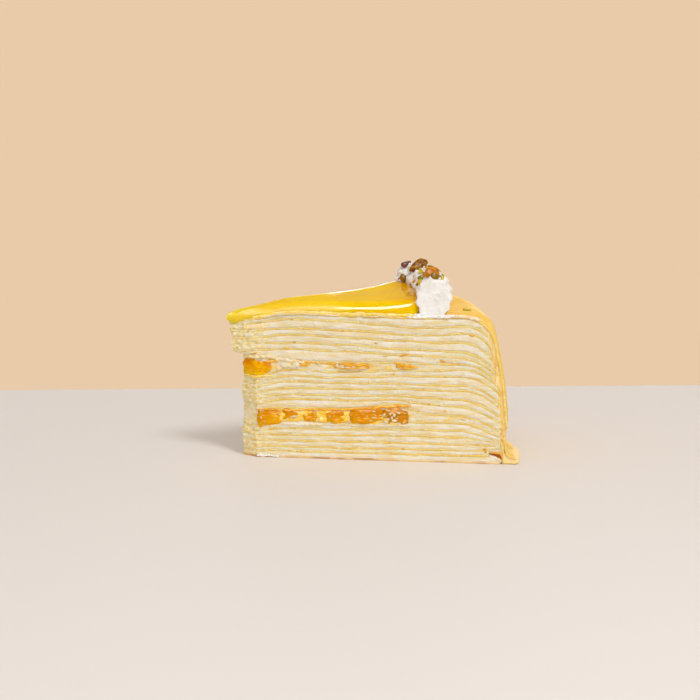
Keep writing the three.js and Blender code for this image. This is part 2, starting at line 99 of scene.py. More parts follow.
foot_low, foot_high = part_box("crepe_21")
foot_radius = (foot_high.y - foot_low.y) / 2 / math.sin(HALF_ANGLE)
APEX = Vector((foot_high.x - foot_radius, (foot_low.y + foot_high.y) / 2, 0))
NEAR_ALONG = Vector((math.cos(HALF_ANGLE), -math.sin(HALF_ANGLE), 0))
FAR_ALONG = Vector((math.cos(HALF_ANGLE), math.sin(HALF_ANGLE), 0))
NEAR_NORMAL = Vector((-math.sin(HALF_ANGLE), -math.cos(HALF_ANGLE), 0))
FAR_NORMAL = Vector((-math.sin(HALF_ANGLE), math.cos(HALF_ANGLE), 0))


def radius_of(point):
    """How far a point is from the middle of the cake, in plan."""
    return math.hypot(point.x - APEX.x, point.y - APEX.y)


def direction_at(azimuth, elevation):
    """The direction from the slice to a thing round it, with 0 for straight in front."""
    return Vector((
        math.sin(azimuth) * math.cos(elevation),
        -math.cos(azimuth) * math.cos(elevation),
        math.sin(elevation),
    ))


print("middle of the cake", APEX, "radius", foot_radius)

# %% [markdown]
# ## Camera
#
# A long lens from a little above the table, turned slightly to the tip's side. It stands at a
# given distance from the foot of the tip and is turned until that point falls at its place in the
# picture. No lens shift is needed.

# %% Camera
VIEW_AZIMUTH = math.radians(-8)
VIEW_ELEVATION = math.radians(13)
VIEW_DISTANCE = 1500 * MM
PICTURE = 700
FOCAL_PIXELS = 3502.5
SENSOR = 36.0
TIP_FOOT_PIXEL = (231, 455.9)
SEES_FROM = 50 * MM
SEES_TO = 20000 * MM
AIM_ROUNDS = 12

camera_data = bpy.data.cameras.new("camera")
camera = bpy.data.objects.new("camera", camera_data)
bpy.context.scene.collection.objects.link(camera)
bpy.context.scene.camera = camera
camera_data.sensor_width = SENSOR
camera_data.lens = FOCAL_PIXELS / PICTURE * SENSOR
camera_data.clip_start = SEES_FROM
camera_data.clip_end = SEES_TO

to_camera = direction_at(VIEW_AZIMUTH, VIEW_ELEVATION)
camera.location = APEX + VIEW_DISTANCE * to_camera
offset_right = (TIP_FOOT_PIXEL[0] - PICTURE / 2) / FOCAL_PIXELS
offset_up = (PICTURE / 2 - TIP_FOOT_PIXEL[1]) / FOCAL_PIXELS
looking = -to_camera
for _ in range(AIM_ROUNDS):
    right = looking.cross(UP).normalized()
    above = right.cross(looking)
    found = -VIEW_DISTANCE * to_camera
    error_right = offset_right - found.dot(right) / found.dot(looking)
    error_up = offset_up - found.dot(above) / found.dot(looking)
    looking = (looking - right * error_right - above * error_up).normalized()
camera.rotation_mode = "QUATERNION"
camera.rotation_quaternion = looking.to_track_quat("-Z", "Y")
print("lens", round(camera_data.lens, 1), "mm")

# %% [markdown]
# ## Table
#
# Operators act on what is selected, so a few helpers select a piece and go in and out of edit mode.
# The slice stands on a pale table that ends a hand's breadth behind it, so that the wall shows
# above its edge. Only its top is seen, so a plane is enough, and it is placed by that far edge.

# %% Small helpers for objects
def only(*things):
    """Select these objects and nothing else."""
    bpy.ops.object.select_all(action="DESELECT")
    for thing in things:
        thing.select_set(True)
    bpy.context.view_layer.objects.active = things[0]


def edit(piece, kind="FACE"):
    """Go into edit mode on one piece with nothing selected."""
    only(piece)
    bpy.ops.object.mode_set(mode="EDIT")
    bpy.ops.mesh.select_mode(type=kind)
    bpy.ops.mesh.select_all(action="DESELECT")


def leave():
    """Go back to object mode."""
    bpy.ops.object.mode_set(mode="OBJECT")


# %% Colours and materials
def colour(red, green, blue):
    """A screen colour of 0 to 255 as the linear colour that a shader works in.

    The numbers are those of the usual screen curve: a straight foot with a power above it.
    """
    linear = []
    for part in (red, green, blue):
        share = part / 255
        if share > 0.04045:
            linear.append(((share + 0.055) / 1.055) ** 2.4)
        else:
            linear.append(share / 12.92)
    return (*linear, 1.0)


def new_material(name, roughness, shine=0.5):
    """A new material, with its node tree and its shader."""
    material = bpy.data.materials.new(name)
    material.use_nodes = True
    shader = material.node_tree.nodes["Principled BSDF"]
    shader.inputs["Roughness"].default_value = roughness
    shader.inputs["Specular IOR Level"].default_value = shine
    return material, material.node_tree, shader


print("linear white", colour(255, 255, 255))

# %% Table
TABLE_BEHIND = 140 * MM
TABLE_WIDE = 2600 * MM
TABLE_DEEP = 2400 * MM

behind = Vector((-to_camera.x, -to_camera.y, 0)).normalized()
bpy.ops.object.select_all(action="DESELECT")
bpy.ops.mesh.primitive_plane_add(size=1)
table = bpy.context.object
table.name = "table"
table.scale = (TABLE_WIDE, TABLE_DEEP, 1)
table.rotation_euler = (0, 0, math.atan2(behind.y, behind.x) - math.pi / 2)
table.location = APEX + behind * (TABLE_BEHIND - TABLE_DEEP / 2)
bpy.ops.object.transform_apply(location=True, rotation=True, scale=True)

table_paint, _, table_shader = new_material("table_paint", roughness=0.6)
table_shader.inputs["Base Color"].default_value = colour(226, 220, 213)
table.data.materials.append(table_paint)
print("table", table.dimensions)

# %% [markdown]
# ## Wall and light
#
# The wall is the colour of the world. It could be a plane, but the glaze would then mirror its
# edges. The glaze mirrors a deeper peach than the wall shows, and the shadows are filled with a
# paler white: a Light Path node tells those rays apart. The main light is a softbox at the front
# right, low enough to model the cut face. Two more lights show as reflections alone: a softbox at
# the front left draws the stroke of shine on the glaze, and a long low one behind the cake draws
# the line along its far edge.

# %% The wall
WALL_COLOUR = colour(233, 203, 170)
MIRRORED_COLOUR = colour(226, 180, 116)
FILL_COLOUR = colour(232, 230, 232)
FILL_STRENGTH = 0.75


def backdrop(nodes, tone, strength=1.0):
    """One colour all round."""
    shader = nodes.new("ShaderNodeBackground")
    shader.inputs["Color"].default_value = tone
    shader.inputs["Strength"].default_value = strength
    return shader.outputs["Background"]


def wall_world():
    """The wall as it is seen, as glossy things mirror it, and the pale room that fills shadows."""
    world = bpy.data.worlds.new("wall")
    world.use_nodes = True
    nodes, links = world.node_tree.nodes, world.node_tree.links
    nodes.remove(nodes["Background"])
    ray = nodes.new("ShaderNodeLightPath")
    layers = backdrop(nodes, WALL_COLOUR)
    for kind, other in (
        ("Is Glossy Ray", backdrop(nodes, MIRRORED_COLOUR)),
        ("Is Diffuse Ray", backdrop(nodes, FILL_COLOUR, FILL_STRENGTH)),
    ):
        mix = nodes.new("ShaderNodeMixShader")
        links.new(ray.outputs[kind], mix.inputs["Fac"])
        links.new(layers, mix.inputs[1])
        links.new(other, mix.inputs[2])
        layers = mix.outputs["Shader"]
    links.new(layers, nodes["World Output"].inputs["Surface"])
    return world


bpy.context.scene.world = wall_world()
print("world", bpy.context.scene.world.name)

# %% Lights
STROKE_ALONG = 68 * MM
STROKE_HEIGHT = 67 * MM


def softbox(name, azimuth, elevation, distance, size, power, aim=None):
    """An area light that looks at a point, or at the middle of the slice."""
    aim = aim or (cad_low + cad_high) / 2
    data = bpy.data.lights.new(name, "AREA")
    data.shape = "RECTANGLE"
    data.size, data.size_y = size
    data.energy = power
    lamp = bpy.data.objects.new(name, data)
    bpy.context.scene.collection.objects.link(lamp)
    out = direction_at(math.radians(azimuth), math.radians(elevation))
    side = UP.cross(out).normalized()
    turn = Matrix((side, out.cross(side), out)).transposed()
    lamp.matrix_world = Matrix.Translation(aim + out * distance) @ turn.to_4x4()
    return lamp


softbox("key", azimuth=22, elevation=51, distance=1.5, size=(0.35, 0.35), power=10.2)
stroke = APEX + NEAR_ALONG * STROKE_ALONG + UP * STROKE_HEIGHT
shine = softbox(
    "shine", azimuth=-22, elevation=40, distance=0.8, size=(0.36, 0.46), power=25, aim=stroke
)
shine.visible_diffuse = False
rim_shine = softbox(
    "rim_shine", azimuth=172, elevation=1, distance=1.5, size=(0.9, 0.1), power=2.8
)
rim_shine.visible_diffuse = False
rim_shine.visible_camera = False

scene = bpy.context.scene
scene.view_settings.view_transform = "Standard"
scene.view_settings.look = "None"

# %% [markdown]
# ## Copies of the CAD bodies
#
# A CAD body comes in as loose triangles. A copy of it is merged, and where it is smoothed later
# its triangles are joined into quads, so that it behaves like a mesh made by hand. A finished piece
# gets its material, is shaded smooth and is handed over in place of its CAD body.

# %% Copying a CAD body
MERGED_WITHIN = 0.001 * MM


def copy_of(node, name):
    """A merged copy of a CAD body, without a material."""
    data = frame["nodes"][node].data.copy()
    data.materials.clear()
    piece = bpy.data.objects.new(name, data)
    bpy.context.scene.collection.objects.link(piece)
    edit(piece)
    bpy.ops.mesh.select_all(action="SELECT")
    bpy.ops.mesh.remove_doubles(threshold=MERGED_WITHIN)
    leave()
    return piece


print("CAD bodies", len(frame["nodes"]))

# %% Steps in edit mode
def join_triangles():
    """Join the triangles of the piece in edit mode into quads, bent ones too."""
    bpy.ops.mesh.select_all(action="SELECT")
    bpy.ops.mesh.tris_convert_to_quads(
        face_threshold=math.pi, shape_threshold=math.pi, topology_influence=1.0
    )


def point_outwards():
    """Turn all faces of the piece in edit mode outwards."""
    bpy.ops.mesh.select_all(action="SELECT")
    bpy.ops.mesh.normals_make_consistent(inside=False)


def start_picking(piece, kind="FACE"):
    """Nothing selected, and in object mode, where a script can select faces or edges."""
    edit(piece, kind)
    leave()


print("mode", bpy.context.mode)

# %% Finishing a piece
def finish_modifier(piece, kind, **settings):
    """Add a modifier to a piece and apply it."""
    modifier = piece.modifiers.new(kind.lower(), kind)
    for key, value in settings.items():
        setattr(modifier, key, value)
    only(piece)
    bpy.ops.object.modifier_apply(modifier=modifier.name)


def smooth(piece, sharp=None):
    """Shade a finished piece smooth all over, or up to an angle in degrees."""
    piece.vertex_groups.clear()
    only(piece)
    if sharp is None:
        bpy.ops.object.shade_smooth()
    else:
        bpy.ops.object.shade_smooth_by_angle(angle=math.radians(sharp))


def coat(piece, look, sharp=None):
    """Give a finished piece its one material and shade it smooth."""
    piece.data.materials.clear()
    piece.data.materials.append(look)
    smooth(piece, sharp)


def hand_over(piece, slot, *nodes):
    """Let a finished piece ride on the slice and stand for its CAD bodies."""
    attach(piece, "root")
    if nodes:
        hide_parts(*nodes)


print("modifiers are applied, and pieces ride on root")

# %% [markdown]
# ## The sheets
#
# Every crepe is a thin sheet. Its upper and lower side are the borders of the cream layers too, so
# both are taken off the crepe's body as open sheets: sharp edges become seams, and all that hangs
# together with one upward or downward facet is kept.

# %% Taking sheets off the crepes
CREPES = 21
SHARP = math.radians(62)
FLAT_FROM = 40 * MM
FLAT_TO = 72 * MM


def sheet_of(k, side):
    """The upper (side 1) or lower (side -1) face of crepe k as an open sheet."""
    sheet = copy_of(f"crepe_{k:02d}", f"sheet_{k:02d}")
    edit(sheet, "EDGE")
    bpy.ops.mesh.edges_select_sharp(sharpness=SHARP)
    bpy.ops.mesh.mark_seam()
    bpy.ops.mesh.select_mode(type="FACE")
    bpy.ops.mesh.select_all(action="DESELECT")
    leave()
    facets = [f for f in sheet.data.polygons if FLAT_FROM < radius_of(f.center) < FLAT_TO]
    max(facets, key=lambda f: side * f.normal.z).select = True
    bpy.ops.object.mode_set(mode="EDIT")
    bpy.ops.mesh.select_linked(delimit={"SEAM"})
    bpy.ops.mesh.select_all(action="INVERT")
    bpy.ops.mesh.delete(type="FACE")
    bpy.ops.mesh.select_all(action="SELECT")
    bpy.ops.mesh.mark_seam(clear=True)
    join_triangles()
    leave()
    return sheet


print("crepes in the stack", CREPES)

# %% [markdown]
# ## From two sheets to a layer
#
# A crepe is what lies between its own two sheets, and a layer of cream what lies between the lower
# sheet of one crepe and the upper sheet of the next, as far out as the cream reaches. Both sheets
# are smoothed by subdividing them along their curvature, and a wall is bridged between their rims.
# The wall is the cut face: it is split into small squares that can carry the marks of the knife.
# Its upright edges are split with some smoothness, which swells soft cream a little out of the cut.

# %% Trimming a sheet
TAILS_FROM = 95 * MM
SAME_POINT = 0.01 * MM


def trim_sheet(sheet, node):
    """Cut off what hangs down outside the cream: facets whose corners the cream doesn't share."""
    points = frame["nodes"][node].data.vertices
    tree = kdtree.KDTree(len(points))
    for i, vertex in enumerate(points):
        tree.insert(vertex.co, i)
    tree.balance()
    shared = [tree.find(v.co)[2] < SAME_POINT for v in sheet.data.vertices]
    start_picking(sheet)
    for facet in sheet.data.polygons:
        outer = radius_of(facet.center) > TAILS_FROM
        facet.select = outer and not all(shared[i] for i in facet.vertices)
    bpy.ops.object.mode_set(mode="EDIT")
    bpy.ops.mesh.delete(type="FACE")
    leave()


print("sheets are trimmed beyond", TAILS_FROM)

# %% Finding the wall's edges
WALL_SLOT = 1


def select_rims():
    """Select the open edges of the piece in edit mode."""
    bpy.ops.mesh.select_mode(type="EDGE")
    bpy.ops.mesh.select_all(action="DESELECT")
    bpy.ops.mesh.select_non_manifold(
        extend=False, use_wire=False, use_boundary=True,
        use_multi_face=False, use_non_contiguous=False, use_verts=False,
    )


def rim_edges(piece):
    """Edges between the wall and a sheet, with the columns of the wall that they belong to."""
    mesh = piece.data
    owners = {}
    for facet in mesh.polygons:
        for key in facet.edge_keys:
            owners.setdefault(key, []).append(facet)
    edge_of = {edge.key: edge for edge in mesh.edges}
    columns = []
    for facet in mesh.polygons:
        if facet.material_index != WALL_SLOT:
            continue
        rims = []
        for key in facet.edge_keys:
            if any(other.material_index != WALL_SLOT for other in owners[key]):
                rims.append(edge_of[key])
        columns.append((facet, rims))
    return columns


print("material slot of the wall", WALL_SLOT)

# %% Splitting the wall into squares
WALL_PITCH = 0.55 * MM
WIDEST_COLUMN = 1.4 * WALL_PITCH


def length_of(mesh, edge):
    """The length of an edge."""
    a, b = edge.vertices
    return (mesh.vertices[a].co - mesh.vertices[b].co).length


def split_columns(piece):
    """Halve the wall's wide columns until all are near the pitch."""
    while True:
        start_picking(piece, "EDGE")
        wide = False
        for facet, rims in rim_edges(piece):
            mean = sum(length_of(piece.data, edge) for edge in rims) / max(len(rims), 1)
            if mean > WIDEST_COLUMN:
                wide = True
                for edge in rims:
                    edge.select = True
        if not wide:
            return
        bpy.ops.object.mode_set(mode="EDIT")
        bpy.ops.mesh.subdivide(number_cuts=1)
        leave()


def split_rows(piece, rows, swell):
    """Split the wall's upright edges, swelling it outwards."""
    start_picking(piece, "EDGE")
    rim_keys = set()
    for _, rims in rim_edges(piece):
        rim_keys.update(edge.key for edge in rims)
    wall_keys = set()
    for facet in piece.data.polygons:
        if facet.material_index == WALL_SLOT:
            wall_keys.update(facet.edge_keys)
    for edge in piece.data.edges:
        edge.select = edge.key in wall_keys and edge.key not in rim_keys
    bpy.ops.object.mode_set(mode="EDIT")
    bpy.ops.mesh.subdivide(number_cuts=rows - 1, smoothness=swell)
    leave()


print("pitch of the wall's squares", WALL_PITCH)

# %% Building a layer
SMOOTHINGS = 2


def build_layer(name, upper, lower, rows, swell):
    """A closed layer between two open sheets."""
    only(upper, lower)
    bpy.ops.object.join()
    upper.name = name
    upper.data.materials.clear()
    for _ in ("sheets", "wall"):
        upper.data.materials.append(None)
    edit(upper)
    bpy.ops.mesh.select_all(action="SELECT")
    for _ in range(SMOOTHINGS):
        bpy.ops.mesh.subdivide(number_cuts=1, smoothness=1.0)
    select_rims()
    bpy.ops.mesh.bridge_edge_loops()
    bpy.ops.mesh.select_mode(type="FACE")
    upper.active_material_index = WALL_SLOT
    bpy.ops.object.material_slot_assign()
    leave()
    split_columns(upper)
    split_rows(upper, rows, swell)
    edit(upper)
    point_outwards()
    leave()
    return upper


print("roundings of a sheet", SMOOTHINGS)

# %% [markdown]
# ## Relief
#
# A real cut is not a plane. The knife drags the cream along in shallow streaks, leaves it grainy
# and takes crumbs out of it. Every wall point is pushed in or out of the cut by soft cloud
# patterns. They are read at the point's place in space and push all pieces the same way, so that
# neighbours still meet. The same idea lets the whole stack sway up and down a little.

# %% Patterns for the relief
def clouds(name, size, depth=2):
    """A cloud pattern whose grains have this size along X, Y and Z."""
    texture = bpy.data.textures.new(name, "CLOUDS")
    texture.noise_scale = 1.0
    texture.noise_depth = depth
    ruler = bpy.data.objects.new(name + "_ruler", None)
    bpy.context.scene.collection.objects.link(ruler)
    ruler.scale = size
    return texture, ruler


SWAY = clouds("sway", (14 * MM, 14 * MM, 7 * MM))
JAG = clouds("jag", (3.4 * MM, 3.4 * MM, 2.2 * MM))
WAVES = clouds("waves", (11 * MM, 11 * MM, 9 * MM))
DRAG = clouds("drag", (5 * MM, 5 * MM, 0.8 * MM))
GRAIN = clouds("grain", (1.1 * MM, 1.1 * MM, 0.9 * MM), 3)
CRUMBLE = clouds("crumble", (2.2 * MM, 2.2 * MM, 1.5 * MM), 3)
bpy.context.view_layer.update()


def weigh(piece, name, weight_at):
    """A vertex group with a weight worked out at each point."""
    group = piece.vertex_groups.new(name=name)
    for vertex in piece.data.vertices:
        weight = weight_at(vertex)
        if weight > 0:
            group.add([vertex.index], weight, "REPLACE")


def push(piece, pattern, strength, direction="NORMAL", group=""):
    """Move a piece's points by a pattern."""
    texture, ruler = pattern
    finish_modifier(
        piece, "DISPLACE", texture=texture, texture_coords="OBJECT",
        texture_coords_object=ruler, strength=strength, mid_level=0.5,
        direction=direction, vertex_group=group,
    )


def ramp(value, start, end):
    """0 before start, 1 past end and a smooth rise between them."""
    share = min(max((value - start) / (end - start), 0), 1)
    return share * share * (3 - 2 * share)


print("patterns", [texture.name for texture in bpy.data.textures])

# %% [markdown]
# ## How the stack leans, hangs and sways
#
# A soft stack never stands straight. High up, the tip leans out over its foot. Near the rim little
# cream carries the crepes, so they hang down by a few millimetres, and the hems at the foot stand
# nearly upright and bend out only at the table. Each piece could be bent in a lattice of its own,
# but neighbours would part. Here every move depends on nothing but a point's place, so what
# touches stays together.

# %% The tip leans
LEAN = 1.6 * MM
LEAN_HEIGHTS = (49 * MM, 60 * MM)
LEAN_REACH = (3 * MM, 20 * MM)


def lean(piece):
    """High up, the tip leans out over its own foot."""
    for vertex in piece.data.vertices:
        near_tip = 1 - ramp(radius_of(vertex.co), *LEAN_REACH)
        vertex.co.x -= LEAN * near_tip * ramp(vertex.co.z, *LEAN_HEIGHTS)


print("tip leans out by", LEAN)

# %% The rim hangs
DROOP = 3 * MM
DROOP_REACH = (99 * MM, 114 * MM)
DROOP_FEET = (5 * MM, 16 * MM)
OUTER_FEET = (14 * MM, 40 * MM)
DROOP_TOPS = (48 * MM, 60 * MM)
OUTER_SHEETS = (114.5 * MM, 116 * MM)
UPRIGHT_TO = 117.2 * MM
SPLAY_HEIGHTS = (1.8 * MM, 4 * MM)
HEM_HEIGHTS = (9 * MM, 12 * MM)
TUCK = 0.8


def hang(piece):
    """Near the rim the layers hang down, and the lowest hems bend out only at the table."""
    for vertex in piece.data.vertices:
        radius = radius_of(vertex.co)
        if radius < DROOP_REACH[0]:
            continue
        inner = ramp(vertex.co.z, *DROOP_FEET)
        outer = ramp(vertex.co.z, *OUTER_FEET)
        above_foot = inner + (outer - inner) * ramp(radius, *OUTER_SHEETS)
        drop = DROOP * above_foot * (1 - ramp(vertex.co.z, *DROOP_TOPS))
        vertex.co.z -= drop * ramp(radius, *DROOP_REACH)
        upright = ramp(vertex.co.z, *SPLAY_HEIGHTS) * (1 - ramp(vertex.co.z, *HEM_HEIGHTS))
        beyond = max(radius - UPRIGHT_TO, 0) * TUCK * upright
        vertex.co.xy -= (vertex.co - APEX).xy.normalized() * beyond


print("rim hangs down by", DROOP)

# %% All layers sway
SWAY_BY = 1.1 * MM
JAG_BY = 0.25 * MM
SWAY_FREE = (0.8 * MM, 4 * MM)


def ripple(piece, group):
    """Move a piece up and down in wide waves with small jags."""
    push(piece, SWAY, SWAY_BY, "Z", group)
    push(piece, JAG, JAG_BY, "Z", group)


def sway(piece):
    """Lean, hang and ripple. On the table a piece stays flat."""
    lean(piece)
    hang(piece)
    weigh(piece, "free", lambda vertex: ramp(vertex.co.z, *SWAY_FREE))
    ripple(piece, "free")


print("layers sway by", SWAY_BY)

# %% Knife marks on the walls of a layer
ON_FACE = 0.25 * MM
TIP_END = 30 * MM
CRUMBLY = (9 * MM, 17 * MM)
SIDES = {"near": "Y", "far": "Y", "tip": "X", "rim": "X"}
KNIFE_MARKS = ((WAVES, 1.2 * MM), (DRAG, 0.45 * MM), (GRAIN, 0.4 * MM))
CRUMBLED_OUT = {"X": 1.4 * MM, "Y": 0.9 * MM}


def side_of(point):
    """Which side of the slice a wall point is on."""
    from_middle = point - APEX
    if from_middle.dot(NEAR_NORMAL) > -ON_FACE:
        return "near"
    if from_middle.dot(FAR_NORMAL) > -ON_FACE:
        return "far"
    return "tip" if radius_of(point) < TIP_END else "rim"


def mark_walls(piece):
    """Groups for the four sides of a layer's wall."""
    wall = set()
    for facet in piece.data.polygons:
        if facet.material_index == WALL_SLOT:
            wall.update(facet.vertices)
    for side in SIDES:
        weigh(piece, side, lambda v: float(v.index in wall and side_of(v.co) == side))
    weigh(piece, "crumbly", lambda v: float(v.index in wall) * (1 - ramp(radius_of(v.co), *CRUMBLY)))


def knife_marks(piece):
    """Push each side of the wall in and out, and crumble the tip."""
    for side, direction in SIDES.items():
        for pattern, depth in KNIFE_MARKS:
            push(piece, pattern, depth, direction, side)
    for direction, depth in CRUMBLED_OUT.items():
        push(piece, CRUMBLE, depth, direction, "crumbly")


print("sides with knife marks", list(SIDES))

# %% [markdown]
# ## Materials for crepe and cream
#
# Crepe is a tender egg yellow where it is cut, with cream wiped over it here and there. Its
# outside is fried: golden, with a lace of browner spots. Cream is warm white and slightly
# translucent.

# %% Patterns and mixtures
def soften(shader, weight, radius):
    """Let light scatter under the surface."""
    shader.inputs["Subsurface Weight"].default_value = weight
    shader.inputs["Subsurface Radius"].default_value = radius
    shader.inputs["Subsurface Scale"].default_value = 1 * MM


def pattern_node(tree, size, low=0.4, high=0.6, detail=3.0, shift=0.0):
    """A soft pattern from 0 to 1, with grains of this size along X, Y and Z."""
    place = tree.nodes.new("ShaderNodeTexCoord")
    mapping = tree.nodes.new("ShaderNodeMapping")
    mapping.inputs["Scale"].default_value = [1 / length for length in size]
    mapping.inputs["Location"].default_value = (shift, shift, shift)
    noise = tree.nodes.new("ShaderNodeTexNoise")
    noise.inputs["Scale"].default_value = 1.0
    noise.inputs["Detail"].default_value = detail
    limits = tree.nodes.new("ShaderNodeMapRange")
    limits.inputs["From Min"].default_value = low
    limits.inputs["From Max"].default_value = high
    tree.links.new(place.outputs["Object"], mapping.inputs["Vector"])
    tree.links.new(mapping.outputs["Vector"], noise.inputs["Vector"])
    tree.links.new(noise.outputs["Fac"], limits.inputs["Value"])
    return limits.outputs["Result"]


def mix_colours(tree, factor, first, second):
    """Between two colours, each a value or another node's output."""
    mix = tree.nodes.new("ShaderNodeMix")
    mix.data_type = "RGBA"
    tree.links.new(factor, mix.inputs["Factor"])
    for socket, source in ((mix.inputs["A"], first), (mix.inputs["B"], second)):
        if isinstance(source, tuple):
            socket.default_value = source
        else:
            tree.links.new(source, socket)
    return mix.outputs["Result"]


print("materials so far", [material.name for material in bpy.data.materials])

# %% Shares along the slice
def share_along(tree, axis, start, end):
    """0 at the start and 1 at the end of a stretch along X or Z."""
    place = tree.nodes.new("ShaderNodeTexCoord")
    split = tree.nodes.new("ShaderNodeSeparateXYZ")
    limits = tree.nodes.new("ShaderNodeMapRange")
    limits.inputs["From Min"].default_value = start
    limits.inputs["From Max"].default_value = end
    tree.links.new(place.outputs["Object"], split.inputs["Vector"])
    tree.links.new(split.outputs[axis], limits.inputs["Value"])
    return limits.outputs["Result"]


def share_from_tip(tree, stretch):
    """0 at the start and 1 at the end of a stretch that is measured from the tip."""
    return share_along(tree, "X", *(APEX.x + along for along in stretch))


print("length of the slice", foot_radius)

# %% Crumbs in the tip
CRUMBS_ALONG = (19 * MM, 9 * MM)


def times(tree, first, second):
    """The product of two shares."""
    product = tree.nodes.new("ShaderNodeMath")
    product.operation = "MULTIPLY"
    tree.links.new(first, product.inputs[0])
    tree.links.new(second, product.inputs[1])
    return product.outputs["Value"]


def crumbled(tree, tone):
    """In the tip, cream and crepe are mashed together in crumbs."""
    mash = pattern_node(
        tree, (1.5 * MM, 1.5 * MM, 1.1 * MM), low=0.42, high=0.6, detail=4.0, shift=13
    )
    mashed = mix_colours(tree, mash, colour(255, 240, 198), colour(252, 212, 122))
    cover = pattern_node(tree, (2.4 * MM, 2.4 * MM, 2.0 * MM), low=0.35, high=0.55, shift=17)
    where = times(tree, share_from_tip(tree, CRUMBS_ALONG), cover)
    return mix_colours(tree, where, tone, mashed)


print("crumbs along", CRUMBS_ALONG)

# %% Grain, and looks of two tones
CREPE_GLOW = (1.4, 0.8, 0.3)


def roughen(tree, shader, height, distance):
    """Make a surface look grainy."""
    bump = tree.nodes.new("ShaderNodeBump")
    bump.inputs["Distance"].default_value = distance
    tree.links.new(height, bump.inputs["Height"])
    tree.links.new(bump.outputs["Normal"], shader.inputs["Normal"])


def two_tone(name, main, patch, roughness=0.5, soft=0.3, shine=0.15, glow=CREPE_GLOW,
             grain=(2.2 * MM,) * 3, low=0.42, high=0.6, detail=3.0, shift=0.0):
    """A material of one tone with soft patches of another."""
    material, tree, shader = new_material(name, roughness, shine)
    soften(shader, soft, glow)
    tone = mix_colours(tree, pattern_node(tree, grain, low, high, detail, shift), main, patch)
    tree.links.new(tone, shader.inputs["Base Color"])
    return material


print("how deep red, green and blue light go in crepe", CREPE_GLOW)

# %% Crepe: cut, fried and underneath
def cut_crepe():
    """Egg yellow with a film of wiped cream and a few fried flecks."""
    material, tree, shader = new_material("cut_crepe", roughness=0.5, shine=0.12)
    soften(shader, 0.35, CREPE_GLOW)
    egg = pattern_node(tree, (9 * MM, 9 * MM, 4 * MM))
    tone = mix_colours(tree, egg, colour(250, 215, 124), colour(242, 198, 98))
    wiped = pattern_node(tree, (3.6 * MM, 3.6 * MM, 0.7 * MM), low=0.56, high=0.7, shift=5)
    tone = mix_colours(tree, wiped, tone, colour(248, 232, 188))
    fried = pattern_node(tree, (2.2 * MM, 2.2 * MM, 0.9 * MM), low=0.64, high=0.72, shift=21)
    tone = mix_colours(tree, fried, tone, colour(214, 150, 50))
    tree.links.new(crumbled(tree, tone), shader.inputs["Base Color"])
    return material


def crepe_skin():
    """Golden, with a lace of browner spots and a fine fried grain."""
    material, tree, shader = new_material("crepe_skin", roughness=0.5, shine=0.06)
    soften(shader, 0.25, (1.4, 0.7, 0.2))
    wide = pattern_node(tree, (12 * MM,) * 3)
    golden = mix_colours(tree, wide, colour(254, 213, 112), colour(251, 200, 90))
    lace = pattern_node(tree, (2.6 * MM,) * 3, low=0.52, high=0.72, detail=5.0, shift=3)
    golden = mix_colours(tree, lace, golden, colour(243, 176, 72))
    tree.links.new(golden, shader.inputs["Base Color"])
    grain = pattern_node(tree, (1.1 * MM,) * 3, low=0.3, high=0.7, detail=4.0)
    roughen(tree, shader, grain, 0.12 * MM)
    return material


CUT_CREPE = cut_crepe()
CREPE_SKIN = crepe_skin()
# The bottom crepe is darker: partly its fried brown, partly painted shade where the foot meets the
# table.
FRIED_AND_SHADED_BOTTOM = two_tone(
    "crepe_bottom", colour(190, 138, 66), colour(226, 192, 122),
    soft=0, shine=0.5, grain=(9 * MM, 9 * MM, 4 * MM),
)
print("crepe looks", CUT_CREPE.name, CREPE_SKIN.name, FRIED_AND_SHADED_BOTTOM.name)

# %% Cream between the crepes
def cream_look(name, stained=False):
    """Warm white in faint streaks. Round the fruit it is stained with juice."""
    material, tree, shader = new_material(name, roughness=0.55, shine=0.12)
    soften(shader, 0.3, (1.6, 1.1, 0.7))
    streaks = pattern_node(tree, (7 * MM, 7 * MM, 1.2 * MM))
    tone = mix_colours(tree, streaks, colour(242, 232, 213), colour(239, 217, 166))
    speck = pattern_node(tree, (1.6 * MM, 1.6 * MM, 0.6 * MM), low=0.58, high=0.7, shift=9)
    tone = mix_colours(tree, speck, tone, colour(244, 213, 146))
    if stained:
        juice = pattern_node(tree, (4.5 * MM, 4.5 * MM, 1.6 * MM), low=0.5, high=0.62, shift=31)
        tone = mix_colours(tree, juice, tone, colour(250, 214, 116))
    tree.links.new(crumbled(tree, tone), shader.inputs["Base Color"])
    grain = pattern_node(tree, (0.7 * MM,) * 3, low=0.3, high=0.7, detail=4.0, shift=51)
    roughen(tree, shader, grain, 0.1 * MM)
    return material


CREAM = cream_look("filling_cream")
FRUIT_CREAM = cream_look("fruit_layer_cream", stained=True)
print("cream looks", CREAM.name, FRUIT_CREAM.name)

# %% [markdown]
# ## Crepes and cream
#
# The 21 crepes and the cream between them make nearly all of the cut face. The stack could be one
# block with stripes, but soft cream swells out between firm crepes and each layer wavers in its own
# way, so every layer is a piece of its own. Its wall gets the knife's marks, and its sheets and its
# wall can have different looks.

# %% Crepes
CREPE_ROWS = 3
CREPE_SWELL = 0.12
LAYER_SHARP = 55


def dress_layer(layer, sheet_look, wall_look):
    """Bend and mark a layer and give its sheets and its wall their materials."""
    mark_walls(layer)
    sway(layer)
    knife_marks(layer)
    layer.data.materials[0] = sheet_look
    layer.data.materials[WALL_SLOT] = wall_look
    smooth(layer, LAYER_SHARP)


